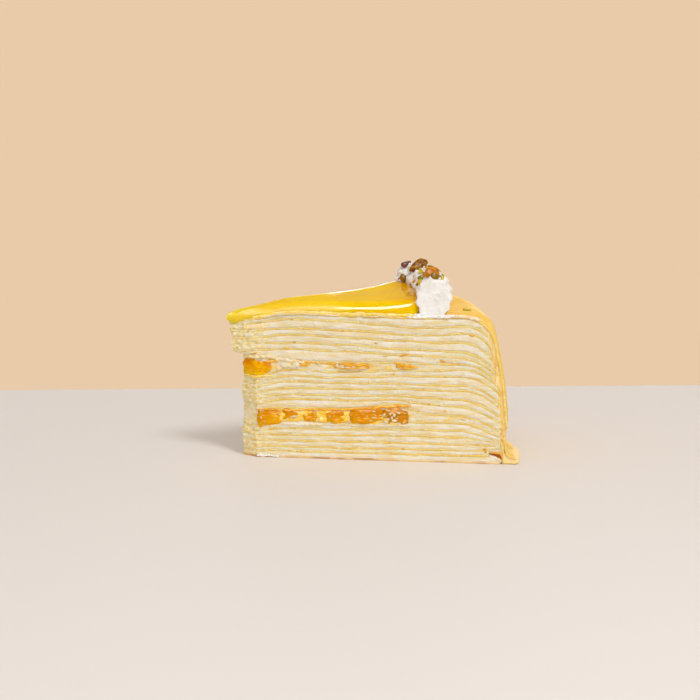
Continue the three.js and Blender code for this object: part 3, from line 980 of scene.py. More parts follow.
for k in range(1, CREPES + 1):
    name = f"crepe_layer_{k:02d}"
    crepe = build_layer(name, sheet_of(k, 1), sheet_of(k, -1), CREPE_ROWS, CREPE_SWELL)
    slot = "crepe"
    look = (CREPE_SKIN, CUT_CREPE)
    if k == 1:
        slot = "crepe_skin"
    if k == CREPES:
        slot = "crepe_bottom"
        look = (FRIED_AND_SHADED_BOTTOM, FRIED_AND_SHADED_BOTTOM)
    dress_layer(crepe, *look)
    hand_over(crepe, slot, f"crepe_{k:02d}")
print("crepes made")

# %% Cream layers
CREAM_SWELL = 0.23
ROW_HEIGHT = 0.42 * MM
CREAM_HEIGHT = 2.4 * MM
FRUIT_LAYER_HEIGHT = 5.5 * MM
FRUIT_LAYERS = (7, 14)

for k in range(1, CREPES):
    node = f"cream_{k:02d}"
    upper = sheet_of(k, -1)
    lower = sheet_of(k + 1, 1)
    trim_sheet(upper, node)
    trim_sheet(lower, node)
    fruity = k in FRUIT_LAYERS
    rows = round((FRUIT_LAYER_HEIGHT if fruity else CREAM_HEIGHT) / ROW_HEIGHT)
    swell = 0.0 if fruity else CREAM_SWELL
    cream = build_layer(f"cream_layer_{k:02d}", upper, lower, rows, swell)
    look = FRUIT_CREAM if fruity else CREAM
    dress_layer(cream, look, look)
    hand_over(cream, "cream", node)
print("cream layers made")

# %% [markdown]
# ## The top crepe as a floor
#
# The glaze and the ridge lie on the top crepe, which is no longer flat. Their feet could be sunk
# into it, but a gap or a buried edge would show on the cuts. A ray that falls on the finished crepe
# gives its height under any point instead.

# %% Height of the top
HIGH_ABOVE = 100 * MM
TOP = BVHTree.FromObject(
    bpy.data.objects["crepe_layer_01"], bpy.context.evaluated_depsgraph_get()
)


def top_under(point):
    """Height of the top crepe under a point."""
    start = Vector((point.x, point.y, HIGH_ABOVE))
    place = TOP.ray_cast(start, Vector((0, 0, -1)))[0]
    return place.z if place else 0


print("top at mid-slice", round(top_under((cad_low + cad_high) / 2), 4))

# %% [markdown]
# ## Mango
#
# Ripe mango is wet, with fibres along it, yellow below and deeper amber above where it has soaked.
# The upper row is firm. The lower one is soft, browner towards the rim, and pressed into the
# cream. Fruit could be carved anew, but the CAD bodies already have their places, so each one is
# copied, subdivided until it is round and pushed out in knobs. Its cut side gets the marks of the
# knife like the cream round it.

# %% Mango flesh
FLESH_FIBRE = colour(236, 142, 0)
CREAM_FILM = colour(253, 232, 176)
FILM_LIMITS = (0.68, 0.74)
FILM_SPREADS = (0.16, 0.12)


def mango_look(name, heights, below, above, cream=0.0):
    """Wet flesh that goes from one tone to another between two heights, smeared with cream."""
    material, tree, shader = new_material(name, roughness=0.22, shine=0.05)
    soften(shader, 0.4, (1.6, 1.0, 0.2))
    tone = mix_colours(tree, share_along(tree, "Z", *heights), below, above)
    patch = pattern_node(tree, (4.2 * MM,) * 3, low=0.48, high=0.66)
    tone = mix_colours(tree, patch, tone, below)
    fibre = pattern_node(tree, (2.4 * MM, 2.4 * MM, 0.8 * MM), low=0.54, high=0.7, shift=4)
    tone = mix_colours(tree, fibre, tone, FLESH_FIBRE)
    low, high = (at - spread * cream for at, spread in zip(FILM_LIMITS, FILM_SPREADS))
    film = pattern_node(tree, (2.4 * MM, 2.4 * MM, 0.7 * MM), low, high, shift=6)
    tone = mix_colours(tree, film, tone, CREAM_FILM)
    tree.links.new(tone, shader.inputs["Base Color"])
    return material


UPPER_ROW = (36 * MM, 41 * MM)
LOWER_ROW = (14 * MM, 23 * MM)
UPPER_MANGO = mango_look("upper_mango", UPPER_ROW, colour(255, 198, 6), colour(232, 138, 0))
STREAKY_MANGO = mango_look(
    "streaky_mango", UPPER_ROW, colour(252, 208, 96), colour(238, 174, 50), cream=0.6
)
LOWER_MANGO = mango_look(
    "lower_mango", LOWER_ROW, colour(244, 174, 4), colour(214, 130, 0), cream=0.2
)
BROWN_MANGO = mango_look(
    "browned_mango", LOWER_ROW, colour(222, 160, 40), colour(190, 124, 16), cream=0.5
)
print("flesh looks", UPPER_MANGO.name, STREAKY_MANGO.name, LOWER_MANGO.name, BROWN_MANGO.name)

# %% Where a chunk lies
MARKS_REACH = 2 * MM
FIRST_CHUNK_TO = 24 * MM
LAST_CHUNK_FROM = 67 * MM
LOWER_FRUIT_BELOW = 30 * MM


def behind_cut(point):
    """How far a point lies behind the nearer cut face."""
    from_apex = point - APEX
    return -max(from_apex.dot(NEAR_NORMAL), from_apex.dot(FAR_NORMAL))


def on_cut_side(vertex):
    """1 on either cut face, falling to 0 a little way in."""
    return 1 - ramp(behind_cut(vertex.co), 0, MARKS_REACH)


def flesh_for(middle):
    """Which flesh a chunk has, by its row and its distance from the tip."""
    if middle.z < LOWER_FRUIT_BELOW:
        return BROWN_MANGO if radius_of(middle) > LAST_CHUNK_FROM else LOWER_MANGO
    return UPPER_MANGO if radius_of(middle) < FIRST_CHUNK_TO else STREAKY_MANGO


print("marks reach in", MARKS_REACH)

# %% Mango chunks
MANGO_PIECES = 16
MANGO_PROUD = 0.35 * MM
MANGO_GROWTH = (1.06, 1, 1.3)
LOWER_FRUIT_DROP = 0.5 * MM
ROUNDINGS = (0.35, 0.25, 0.0)
FRUIT_MARKS = ((WAVES, 1.2 * MM), (DRAG, 0.8 * MM))
KNOBS = clouds("knobs", (2.8 * MM, 2.8 * MM, 2.2 * MM), 2)
SOFT_KNOBS = 2.0 * MM
FIRM_KNOBS = 0.9 * MM
FIBRES = 0.5 * MM
bpy.context.view_layer.update()


def mango_chunk(n):
    """Round a chunk off, roughen it and let it stand a little proud of its cut."""
    node = f"mango_{n:02d}"
    chunk = copy_of(node, f"mango_chunk_{n:02d}")
    middle = sum((v.co for v in chunk.data.vertices), Vector()) / len(chunk.data.vertices)
    edit(chunk)
    bpy.ops.mesh.select_all(action="SELECT")
    bpy.ops.mesh.tris_convert_to_quads(face_threshold=0.7, shape_threshold=1.2)
    lower_row = middle.z < LOWER_FRUIT_BELOW
    if lower_row:
        bpy.ops.transform.resize(value=MANGO_GROWTH, center_override=middle)
        bpy.ops.transform.translate(value=(0, 0, -LOWER_FRUIT_DROP))
    for smoothness in ROUNDINGS:
        bpy.ops.mesh.subdivide(number_cuts=1, smoothness=smoothness)
    leave()
    push(chunk, KNOBS, SOFT_KNOBS if lower_row else FIRM_KNOBS)
    push(chunk, GRAIN, FIBRES)
    sway(chunk)
    cut_share = [on_cut_side(v) for v in chunk.data.vertices]
    weigh(chunk, "cut", lambda v: cut_share[v.index])
    for marks, depth in FRUIT_MARKS:
        push(chunk, marks, depth, "Y", "cut")
    from_apex = middle - APEX
    out = NEAR_NORMAL if from_apex.dot(NEAR_NORMAL) > from_apex.dot(FAR_NORMAL) else FAR_NORMAL
    edit(chunk)
    bpy.ops.mesh.select_all(action="SELECT")
    bpy.ops.transform.translate(value=out * MANGO_PROUD)
    leave()
    coat(chunk, flesh_for(middle))
    hand_over(chunk, "mango", node)


for n in range(1, MANGO_PIECES + 1):
    mango_chunk(n)
print("mango made")

# %% [markdown]
# ## Glaze
#
# The glaze is a mango gel, poured a few millimetres thick and cut with the cake. Its poured edge is
# round, it droops over the tip, and it runs on a little under the ridge. It could be poured by a
# simulation, but the CAD body has its outline already: a few of its points are moved and
# Subdivision Surface rounds it off like a skin, while a crease keeps its flat foot sharp. Light
# that goes deep in, and a smooth wet surface, make it glow.

# %% The look of the glaze
# Where the top of the glaze is painted amber: a painted reflection of the nuts and painted shade of
# the ridge.
PAINTED_REFLECTION_ALONG = (62 * MM, 80 * MM)
PAINTED_REFLECTION_HEIGHTS = (67.5 * MM, 71 * MM)
LEMON_ALONG = (16 * MM, 0)
POLISHED_ALONG = (41 * MM, 50 * MM)
DULL = 0.45
POLISHED = 0.07


def glaze_look():
    """Yellow gel, lemon at the tip, with amber on top towards the ridge as a painted reflection and
    shade of the ridge and nuts, polished in the middle.
    """
    material, tree, shader = new_material("mango_glaze", roughness=POLISHED, shine=0.16)
    soften(shader, 0.6, (4.0, 2.4, 0.1))
    gel = pattern_node(tree, (20 * MM, 20 * MM, 3 * MM))
    tone = mix_colours(tree, gel, colour(255, 206, 0), colour(252, 196, 0))
    # Painted reflection and shade: towards the ridge the top is darkened to amber, standing in for the
    # nuts and the ridge's shadow mirrored in the gel.
    amber = share_from_tip(tree, PAINTED_REFLECTION_ALONG)
    painted_reflection_height = share_along(tree, "Z", *PAINTED_REFLECTION_HEIGHTS)
    tone = mix_colours(tree, times(tree, amber, painted_reflection_height), tone, colour(206, 126, 0))
    tone = mix_colours(tree, share_from_tip(tree, LEMON_ALONG), tone, colour(241, 208, 44))
    tree.links.new(tone, shader.inputs["Base Color"])
    dull = tree.nodes.new("ShaderNodeMapRange")
    dull.inputs["To Min"].default_value = DULL
    dull.inputs["To Max"].default_value = POLISHED
    tree.links.new(share_from_tip(tree, POLISHED_ALONG), dull.inputs["Value"])
    tree.links.new(dull.outputs["Result"], shader.inputs["Roughness"])
    return material


GLAZE_LOOK = glaze_look()
print("look made", GLAZE_LOOK.name)

# %% The foot of the glaze
FACING_DOWN = -0.8
JUST_INSIDE = 0.9


def crease_foot(piece):
    """Keep the edge where the flat underside ends."""
    facing_down = {f.index for f in piece.data.polygons if f.normal.z < FACING_DOWN}
    owners = {}
    for facet in piece.data.polygons:
        for key in facet.edge_keys:
            owners.setdefault(key, []).append(facet.index in facing_down)
    start_picking(piece, "EDGE")
    for edge in piece.data.edges:
        edge.select = any(owners[edge.key]) and not all(owners[edge.key])
    bpy.ops.object.mode_set(mode="EDIT")
    bpy.ops.transform.edge_crease(value=1.0)
    leave()


def foot_of_glaze(point):
    """Height of the crepe that the gel lies on, as low at the edges as just inside them."""
    inside = Vector((point.x, point.y * JUST_INSIDE, 0))
    return top_under(inside)


print("floor of the glaze at its middle", round(foot_of_glaze((cad_low + cad_high) / 2), 4))

# %% The rim of the glaze and its drip
RIM_FROM = 14 * MM
RIM_DOWN = 0.9 * MM
RIM_IN = 1.4 * MM
POURED_ABOVE = 2.5 * MM
AT_CUT = 0.4 * MM
BESIDE_CUT = 1.8 * MM


def soften_rim(piece):
    """A fuller rounding where the poured top turns into the cut."""
    for vertex in piece.data.vertices:
        poured = vertex.co.z >= foot_of_glaze(vertex.co) + POURED_ABOVE
        if radius_of(vertex.co) < RIM_FROM or not poured:
            continue
        for normal in (NEAR_NORMAL, FAR_NORMAL):
            inside = -(vertex.co - APEX).dot(normal)
            if abs(inside) < AT_CUT:
                vertex.co.z -= RIM_DOWN
            elif inside < BESIDE_CUT:
                vertex.co -= normal * RIM_IN


DRIP_REACH = (2 * MM, 12 * MM)
DRIP = 2.0 * MM
DRIP_HEIGHTS = (2.2 * MM, 3.6 * MM)
TIP_OUT = 0.8 * MM
TIP_REACH = 9 * MM
GLAZE_END = 78 * MM
UNDER_RIDGE = 2.6 * MM


def sag(piece):
    """The gel droops at the tip, stands out there and runs on under the ridge."""
    low = min(v.co.z for v in piece.data.vertices)
    for vertex in piece.data.vertices:
        distance = radius_of(vertex.co)
        droop = 1 - ramp(distance, *DRIP_REACH)
        lower = 1 - ramp(vertex.co.z, *(low + height for height in DRIP_HEIGHTS))
        vertex.co.z -= DRIP * droop * lower
        vertex.co.x -= TIP_OUT * (1 - ramp(distance, 0, TIP_REACH))
        if distance > GLAZE_END:
            from_apex = vertex.co - APEX
            along = Vector((from_apex.x, from_apex.y, 0)).normalized()
            vertex.co += along * UNDER_RIDGE


print("glaze drips down by", DRIP)

# %% Rounding off the glaze
FOOT_HEIGHTS = (0.5 * MM, 4 * MM)
GLAZE_SHARP = 60

glaze = copy_of("glaze", "mango_gel")
edit(glaze)
join_triangles()
leave()
soften_rim(glaze)
sag(glaze)
crease_foot(glaze)
finish_modifier(glaze, "SUBSURF", levels=4, render_levels=4)
lean(glaze)
weigh(glaze, "foot", lambda v: 1 - ramp(v.co.z - foot_of_glaze(v.co), *FOOT_HEIGHTS))
ripple(glaze, "foot")
coat(glaze, GLAZE_LOOK, GLAZE_SHARP)
hand_over(glaze, "glaze", "glaze")
print("glaze made")

# %% [markdown]
# ## Ridge of piped cream
#
# Whipped cream from a wide nozzle, laid along the rim and cut through with the cake: a thick rope
# with soft ribs that wind round it, lumpy and crinkled where it stood and dried. It could be a
# curve with a bevel, but a section that is spun about the middle of the cake follows the rim and
# ends flat on both cuts. A voxel remesh then gives it small even faces, which carry the lumps.

# %% Spinning a section about the middle of the cake
def plan_point(distance, across):
    """A point in plan, with across going from 0 at the near face to 1 at the far face."""
    angle = HALF_ANGLE * (2 * across - 1)
    return APEX + Vector((math.cos(angle), math.sin(angle), 0)) * distance


def spin_section(name, points, steps, turn):
    """Spin a closed section about the middle of the cake and close both ends."""
    bpy.ops.object.select_all(action="DESELECT")
    bpy.ops.mesh.primitive_circle_add(vertices=len(points), radius=1, fill_type="NOTHING")
    piece = bpy.context.object
    piece.name = piece.data.name = name
    for vertex, point in zip(piece.data.vertices, points):
        vertex.co = point
    only(piece)
    bpy.ops.object.mode_set(mode="EDIT")
    bpy.ops.mesh.select_all(action="SELECT")
    bpy.ops.mesh.spin(steps=steps, angle=turn, center=APEX, axis=(0, 0, 1))
    bpy.ops.mesh.select_mode(type="EDGE")
    bpy.ops.mesh.select_non_manifold()
    bpy.ops.mesh.edge_face_add()
    point_outwards()
    leave()
    return piece


print("near foot of the rim", plan_point(foot_radius, 0))

# %% The form of the piped ridge
RIDGE_DISTANCE = 86.8 * MM
RIDGE_HALF_WIDTH = 7.1 * MM
RIDGE_HEIGHT = 17 * MM
RIDGE_HEIGHT_FAR = 14.5 * MM
RIDGE_CENTRE = 0.46
RIDGE_RISE = 0.54
RIDGE_SIDES = 44
RIDGE_RIBS = 11
RIDGE_TWIST = 11
RIB_DEPTH = 0.07
RIDGE_STEPS = 48
RIDGE_GAP = 0.1 * MM


def ridge_height(across):
    """The ridge was piped a little lower towards the far face."""
    return RIDGE_HEIGHT + (RIDGE_HEIGHT_FAR - RIDGE_HEIGHT) * across


def ridge_point(across, around, out=0.0):
    """A point on the ridge, at an angle round its section from outwards over the top."""
    middle = plan_point(RIDGE_DISTANCE, across)
    height = ridge_height(across)
    half_width = RIDGE_HALF_WIDTH + out
    rise = RIDGE_RISE * height + out
    point = plan_point(RIDGE_DISTANCE + half_width * math.cos(around), across)
    point.z = top_under(middle) + RIDGE_CENTRE * height + rise * math.sin(around)
    return point


def settle(piece):
    """Grooves wind round the ridge. It follows the crepe under it and is flat on its foot."""
    start = top_under(plan_point(RIDGE_DISTANCE, 0))
    for vertex in piece.data.vertices:
        from_apex = vertex.co - APEX
        across = (math.atan2(from_apex.y, from_apex.x) / HALF_ANGLE + 1) / 2
        height = ridge_height(across)
        middle = plan_point(RIDGE_DISTANCE, across)
        middle.z = top_under(middle) + RIDGE_CENTRE * height
        up = (vertex.co.z - start) * height / RIDGE_HEIGHT - RIDGE_CENTRE * height
        out = radius_of(vertex.co) - RIDGE_DISTANCE
        rib = 1 + RIB_DEPTH * math.cos(RIDGE_RIBS * math.atan2(up, out) + RIDGE_TWIST * across)
        vertex.co = plan_point(RIDGE_DISTANCE + out * rib, across)
        vertex.co.z = max(middle.z + up * rib, top_under(vertex.co) + RIDGE_GAP)


section = [ridge_point(0, 2 * math.pi * n / RIDGE_SIDES) for n in range(RIDGE_SIDES)]
ridge = spin_section("piped_cream", section, RIDGE_STEPS, -2 * HALF_ANGLE)
settle(ridge)
print("ridge formed")

# %% Lumps and crinkles of the ridge
RIDGE_VOXEL = 0.4 * MM
LUMPS = clouds("lumps", (3.4 * MM,) * 3, 2)
FLUFF = clouds("fluff", (1.3 * MM,) * 3, 2)
CRINKLE = clouds("crinkle", (1.5 * MM,) * 3, 3)
LUMPS_STAND_OUT = 1.7 * MM
FLUFF_STANDS_OUT = 0.55 * MM
CRINKLE_STANDS_OUT = 0.45 * MM
END_RELIEF = 0.12
END_REACH = 1.2 * MM
FOOT_REACH = 1 * MM


def off_foot(vertex):
    """No relief where the ridge stands on the crepe."""
    return ramp(vertex.co.z - top_under(vertex.co), 0, FOOT_REACH)


def off_ends(vertex):
    """Less relief on the two cut ends than on the piped outside."""
    share = ramp(behind_cut(vertex.co), 0, END_REACH)
    return (END_RELIEF + (1 - END_RELIEF) * share) * off_foot(vertex)


finish_modifier(ridge, "REMESH", mode="VOXEL", voxel_size=RIDGE_VOXEL)
bpy.context.view_layer.update()
weigh(ridge, "soft", off_ends)
push(ridge, LUMPS, LUMPS_STAND_OUT, group="soft")
push(ridge, FLUFF, FLUFF_STANDS_OUT, group="soft")
weigh(ridge, "all", off_foot)
push(ridge, CRINKLE, CRINKLE_STANDS_OUT, group="all")
WHIPPED = two_tone(
    "whipped_cream", colour(246, 243, 237), colour(238, 233, 224),
    soft=0.35, shine=0.2, glow=(1.2, 1.0, 0.8), grain=(4 * MM,) * 3, low=0.4, high=0.6,
)
coat(ridge, WHIPPED)
hand_over(ridge, "whipped_cream", "whipped_border")
print("ridge made")

# %% [markdown]
# ## Behind the outer crepe
#
# The edges of many crepes hang down inside the outer one and press together there. Each could be a
# sheet, but only their edges show, as fine stripes. One curved curtain just inside the outer crepe
# stands for them: it is taken off that crepe's inner sheet and given a thickness inwards, so it
# follows every wave of it.

# %% Curtain of crepe edges
CURTAIN_FROM = 103 * MM
CURTAIN_LOW = 15.5 * MM
CURTAIN_DEEP = 3.0 * MM
CURTAIN_SHARP = 50
SET_BACK = 0.992

curtain = sheet_of(1, -1)
curtain.name = curtain.data.name = "crepe_edges"
start_picking(curtain)
for facet in curtain.data.polygons:
    inner = radius_of(facet.center) < CURTAIN_FROM
    facet.select = inner or facet.center.z < CURTAIN_LOW
bpy.ops.object.mode_set(mode="EDIT")
bpy.ops.mesh.delete(type="FACE")
bpy.ops.mesh.select_all(action="SELECT")
for _ in range(SMOOTHINGS):
    bpy.ops.mesh.subdivide(number_cuts=1, smoothness=1.0)
leave()
finish_modifier(curtain, "SOLIDIFY", thickness=CURTAIN_DEEP, offset=1.0)
edit(curtain)
bpy.ops.mesh.select_all(action="SELECT")
bpy.ops.transform.resize(value=(1, SET_BACK, 1), center_override=APEX)
leave()
sway(curtain)
EDGES = two_tone(
    "crepe_edges", colour(252, 222, 148), colour(242, 190, 96), roughness=0.55, shine=0.5,
    grain=(0.55 * MM, 0.55 * MM, 9 * MM), low=0.42, high=0.58, detail=2.0, shift=41,
)
coat(curtain, EDGES, CURTAIN_SHARP)
hand_over(curtain, "crepe")
print("curtain made")

# %% [markdown]
# ## Folds at the foot
#
# At the foot the outer crepe folds under itself with cream in the fold, and a slit is left open.
# Its inside is a dark brown piece: partly browned crepe, partly painted shade in the slit's depth.
# Below the near corner a thin hem lies out on the table. A cloth could be dropped there, but the
# folds are only a few millimetres high and turn with the rim, so each one is a section that is
# spun round it, remeshed and made uneven like the rest.

# %% Sweeping a fold
FOLD_STEPS = 40
FOLD_INSET = 0.006
SLIT_INSET = 0.022
CREPE_INSET = 0.003
TUCKED_TO = 117 * MM
TUCK_FROM_TO = (0.26, 0.44)
FOLD_VOXEL = 0.3 * MM
FOLD_WAVES = 0.5 * MM
FOLD_GRAIN = 0.35 * MM


def sweep(name, section, look, slot, inset=FOLD_INSET, tuck=0.0):
    """Sweep a section, in mm from the middle of the cake and in height, round the rim.

    Away from the near corner the piece is tucked in by a share of what it stands out.
    """
    start = []
    for distance, height in section:
        point = plan_point(distance * MM, inset)
        point.z = height * MM
        start.append(point)
    piece = spin_section(name, start, FOLD_STEPS, -2 * HALF_ANGLE * (1 - 2 * inset))
    for vertex in piece.data.vertices:
        out = (vertex.co - APEX).xy
        share = (math.atan2(out.y, out.x) + HALF_ANGLE) / (2 * HALF_ANGLE)
        inward = max(out.length - TUCKED_TO, 0) * tuck * ramp(share, *TUCK_FROM_TO)
        vertex.co.xy -= out.normalized() * inward
    finish_modifier(piece, "REMESH", mode="VOXEL", voxel_size=FOLD_VOXEL)
    finish_modifier(piece, "SMOOTH", factor=0.5, iterations=2)
    push(piece, WAVES, FOLD_WAVES)
    push(piece, GRAIN, FOLD_GRAIN)
    coat(piece, look)
    hand_over(piece, slot)


print("steps round the rim", FOLD_STEPS)

# %% Folds, slit and hem
HEM_TUCK = 0.7
BROWNED = two_tone("browned_crepe", colour(236, 188, 100), colour(218, 158, 64))
# The slit's inside is dark brown: partly browned crepe, partly painted shade in its depth.
BROWN_SLIT_AND_PAINTED_SHADE = two_tone("slit_inside", colour(204, 124, 24), colour(172, 92, 8), roughness=0.4, soft=0.1)
HEM = two_tone("crepe_hem", colour(255, 226, 166), colour(254, 216, 142))
STACKED = two_tone("stacked_hems", colour(252, 220, 148), colour(248, 206, 122))

# Sections in mm: distance from the middle of the cake, and height.
CREAM_OVER_SLIT = [
    (109.5, 5.7), (113, 6.8), (115.6, 8.0), (116.3, 6.6), (115.9, 5.0), (113, 4.8), (109.5, 5.0),
]
CREPE_OVER_SLIT = [
    (108.6, 5.4), (111.5, 5.4), (114.3, 5.5), (115.9, 6.0), (116.9, 5.0), (116.9, 2.8), (116.4, 0.9),
    (115.8, 1.1), (116.2, 2.9), (115.6, 4.2), (113.2, 4.3), (110.6, 4.6), (108.6, 4.8),
]
INSIDE_SLIT = [(110.2, 4.8), (113, 4.4), (116.0, 3.9), (116.1, 1.3), (113, 2.7), (110.2, 4.0)]
CREAM_UNDER_SLIT = [
    (109.4, 1.2), (109.4, 4.4), (111, 4.0), (113.4, 3.1), (115.6, 2.2), (116.3, 1.4), (116.2, 0.3),
    (112, 0.6),
]
EDGES_AT_FOOT = [
    (115.2, 18), (116.9, 18), (117.5, 9), (117.2, 4), (117, 0.2), (116.3, 0.2), (116.2, 6), (115.2, 9),
]
HEM_AT_FOOT = [
    (116.5, 0.2), (116.7, 6.4), (117.4, 5.0), (118.4, 3.6), (120.4, 2.9), (122.2, 2.6), (123.3, 1.9),
    (123.3, 0.9), (122.4, 0.3), (120, 0.2),
]
sweep("foot_cream_fold", CREAM_OVER_SLIT, CREAM, "cream")
sweep("foot_crepe_fold", CREPE_OVER_SLIT, BROWNED, "crepe", CREPE_INSET)
sweep("foot_slit", INSIDE_SLIT, BROWN_SLIT_AND_PAINTED_SHADE, "crepe", SLIT_INSET)
sweep("foot_cream_low", CREAM_UNDER_SLIT, CREAM, "cream")
sweep("foot_edges", EDGES_AT_FOOT, STACKED, "crepe")
sweep("foot_hem", HEM_AT_FOOT, HEM, "crepe_skin", tuck=HEM_TUCK)
print("folds made")

# %% [markdown]
# ## Pistachios
#
# Shelled pistachios and chips of them stick in the ridge. A kernel is a long lump in a thin
# purple-brown skin, and a chip is an angular bit that shows the green inside. Each is modelled
# once, then copied, stretched and turned for every place, and the bits of one colour are joined.

# %% One kernel and one chip
KERNEL_DENTS = 0.35
KERNEL_WRINKLES = 0.12
CHIP_CUTS = (((0.2, 0.1, 1), 0.6), ((0.9, -0.5, 0.3), 0.75), ((-0.6, 0.8, -0.2), 0.7))


def ball(subdivisions, radius=1):
    """A round model to be shaped, copied and stretched."""
    bpy.ops.object.select_all(action="DESELECT")
    bpy.ops.mesh.primitive_ico_sphere_add(subdivisions=subdivisions, radius=radius)
    return bpy.context.object


def kernel():
    """A ball with dents and with wrinkles along it."""
    piece = ball(4)
    push(piece, clouds("kernel_dents", (0.9, 0.9, 0.9), 1), KERNEL_DENTS)
    push(piece, clouds("kernel_wrinkles", (0.5, 0.16, 0.16), 2), KERNEL_WRINKLES)
    return piece


def chip():
    """A ball with flat cuts, each a direction and its distance from the middle."""
    piece = ball(2, 1.15)
    only(piece)
    bpy.ops.object.mode_set(mode="EDIT")
    for cut, deep in CHIP_CUTS:
        away = Vector(cut).normalized()
        bpy.ops.mesh.select_all(action="SELECT")
        bpy.ops.mesh.bisect(plane_co=away * deep, plane_no=away, use_fill=True, clear_outer=True)
    point_outwards()
    leave()
    finish_modifier(piece, "BEVEL", width=0.1, segments=2, limit_method="ANGLE")
    return piece


KERNEL = kernel()
CHIP = chip()
print("faces of a kernel and a chip", len(KERNEL.data.polygons), len(CHIP.data.polygons))

# %% Placing copies
NUT_STANDS_OUT = 0.2
CHANCE = random.Random(7)
RIDGE_TREE = BVHTree.FromObject(ridge, bpy.context.evaluated_depsgraph_get())
OUTSIDE_RIDGE = 6 * MM


def vary(value, share=0.3):
    """A value that is up to a share smaller or larger."""
    return value * CHANCE.uniform(1 - share, 1 + share)


def on_ridge(across, around):
    """The place on the ridge's real surface at an angle round its section."""
    start = ridge_point(across, around, OUTSIDE_RIDGE)
    middle = plan_point(RIDGE_DISTANCE, across)
    middle.z = top_under(middle) + RIDGE_CENTRE * ridge_height(across)
    return RIDGE_TREE.ray_cast(start, (middle - start).normalized())[0] or middle


def halves(size):
    """What a model of radius 1 is stretched by, to have a size that is given in mm."""
    return [length / 2 * MM for length in size]


def place_copy(model, name, size, turn, place):
    """A copy of a model with a mesh of its own, stretched, turned and moved."""
    only(model)
    bpy.ops.object.duplicate()
    piece = bpy.context.object
    piece.name = piece.data.name = name
    piece.scale = size
    piece.rotation_euler = turn
    piece.location = place
    bpy.ops.object.transform_apply(location=True, rotation=True, scale=True)
    return piece


def join_as(name, pieces):
    """Join pieces into one."""
    only(*pieces)
    if len(pieces) > 1:
        bpy.ops.object.join()
    pieces[0].name = pieces[0].data.name = name
    return pieces[0]


print("crest of the ridge", on_ridge(0.5, math.pi / 2))

# %% Large nuts and their looks
# Kind, model, where across the slice, the angle round the ridge, size in mm and turn.
NUT_SPOTS = [
    ("brown", KERNEL, 0.72, 107, (8.6, 5.2, 4.4), (0, -0.55, -0.14)),
    ("amber", KERNEL, 0.12, 97, (7, 5.6, 5.4), (0.3, 0.3, 0.4)),
    ("purple", CHIP, 0.93, 116, (4.6, 3.4, 2.9), (0, -0.3, 0.2)),
    ("olive", CHIP, 0.02, 86, (3.4, 2.4, 3.4), (0, 0.2, 0)),
    ("green", CHIP, 0.33, 128, (4.8, 2.4, 2.2), (0, -0.5, 0)),
    ("lime", CHIP, 0.25, 143, (3.2, 2.6, 1.9), (0, -0.7, 0.5)),
    ("olive", CHIP, 0.82, 160, (2.8, 3.2, 3.6), (0.2, 0.2, 0)),
    ("lime", CHIP, 0.04, 62, (1.2, 1.2, 3.0), (0.3, 0.5, 0.4)),
    ("olive", KERNEL, 0.8, 46, (4.4, 3, 2.6), (0.1, 0.6, 0.5)),
    ("green", CHIP, 0.62, 28, (3, 2.4, 2.1), (0.4, 1, 0.8)),
    ("amber", CHIP, 0.24, 117, (3.2, 2.6, 2.4), (0.5, 0.1, 2)),
    ("lime", CHIP, 0.56, 120, (2.8, 2.2, 1.9), (0.3, -0.6, 1)),
]


def nut_look(name, main, patch):
    """Dull nut in two tones, which lets no light in."""
    return two_tone(
        name, main, patch, roughness=0.42, soft=0, shine=0.2, grain=(1.6 * MM,) * 3,
        low=0.45, high=0.62,
    )


NUT_LOOKS = {
    # The brown kernel's golden patches are painted highlights.
    "brown": nut_look("brown_nut_skin", colour(122, 68, 2), colour(172, 126, 4)),
    "amber": nut_look("amber_nut", colour(206, 132, 8), colour(172, 98, 6)),
    "purple": nut_look("purple_nut_skin", colour(92, 46, 44), colour(136, 84, 70)),
    "olive": nut_look("olive_nut", colour(150, 112, 14), colour(122, 96, 26)),
    "green": nut_look("green_nut", colour(112, 124, 10), colour(184, 140, 10)),
    "lime": nut_look("lime_nut", colour(216, 176, 16), colour(150, 146, 16)),
}

print("large nuts", len(NUT_SPOTS))

# %% Nuts on the ridge
SMALL_BITS = 34
SMALL_KINDS = ("green", "lime", "olive", "amber")
SMALL_ACROSS = (0.02, 0.98)
SMALL_AROUND = (48, 168)
SMALL_LENGTH = 1.5
SMALL_SHAPE = (1, 0.7, 0.5)
DROPPED_AT = (100.6 * MM, 0.237)
DROPPED_UP = 0.3 * MM
DROPPED_SIZE = (3.4, 1.5, 1.0)
NUT_SHARP = 35

bits = {kind: [] for kind in NUT_LOOKS}
for n in range(SMALL_BITS):
    place = on_ridge(CHANCE.uniform(*SMALL_ACROSS), math.radians(CHANCE.uniform(*SMALL_AROUND)))
    length = vary(SMALL_LENGTH, 0.45)
    turn = [CHANCE.uniform(-1, 1) for _ in range(3)]
    kind = SMALL_KINDS[n % len(SMALL_KINDS)]
    size = [length * share for share in SMALL_SHAPE]
    bits[kind].append((CHIP, f"{kind}_crumb_{n}", halves(size), turn, place))
dropped = plan_point(*DROPPED_AT)
dropped.z = top_under(dropped) + DROPPED_UP
bits["lime"].append((CHIP, "dropped", halves(DROPPED_SIZE), (0.1, 0.05, -0.3), dropped))
for n, (kind, model, across, around, size, turn) in enumerate(NUT_SPOTS):
    place = ridge_point(across, math.radians(around), NUT_STANDS_OUT * size[2] * MM)
    bits[kind].append((model, f"{kind}_bit_{n}", halves(size), turn, place))
for kind, look in NUT_LOOKS.items():
    nuts = join_as(f"pistachio_{kind}", [place_copy(*bit) for bit in bits[kind]])
    coat(nuts, look, NUT_SHARP)
    hand_over(nuts, "whipped_cream", "whipped_border")
print("nuts made", SMALL_BITS + 1 + len(NUT_SPOTS))

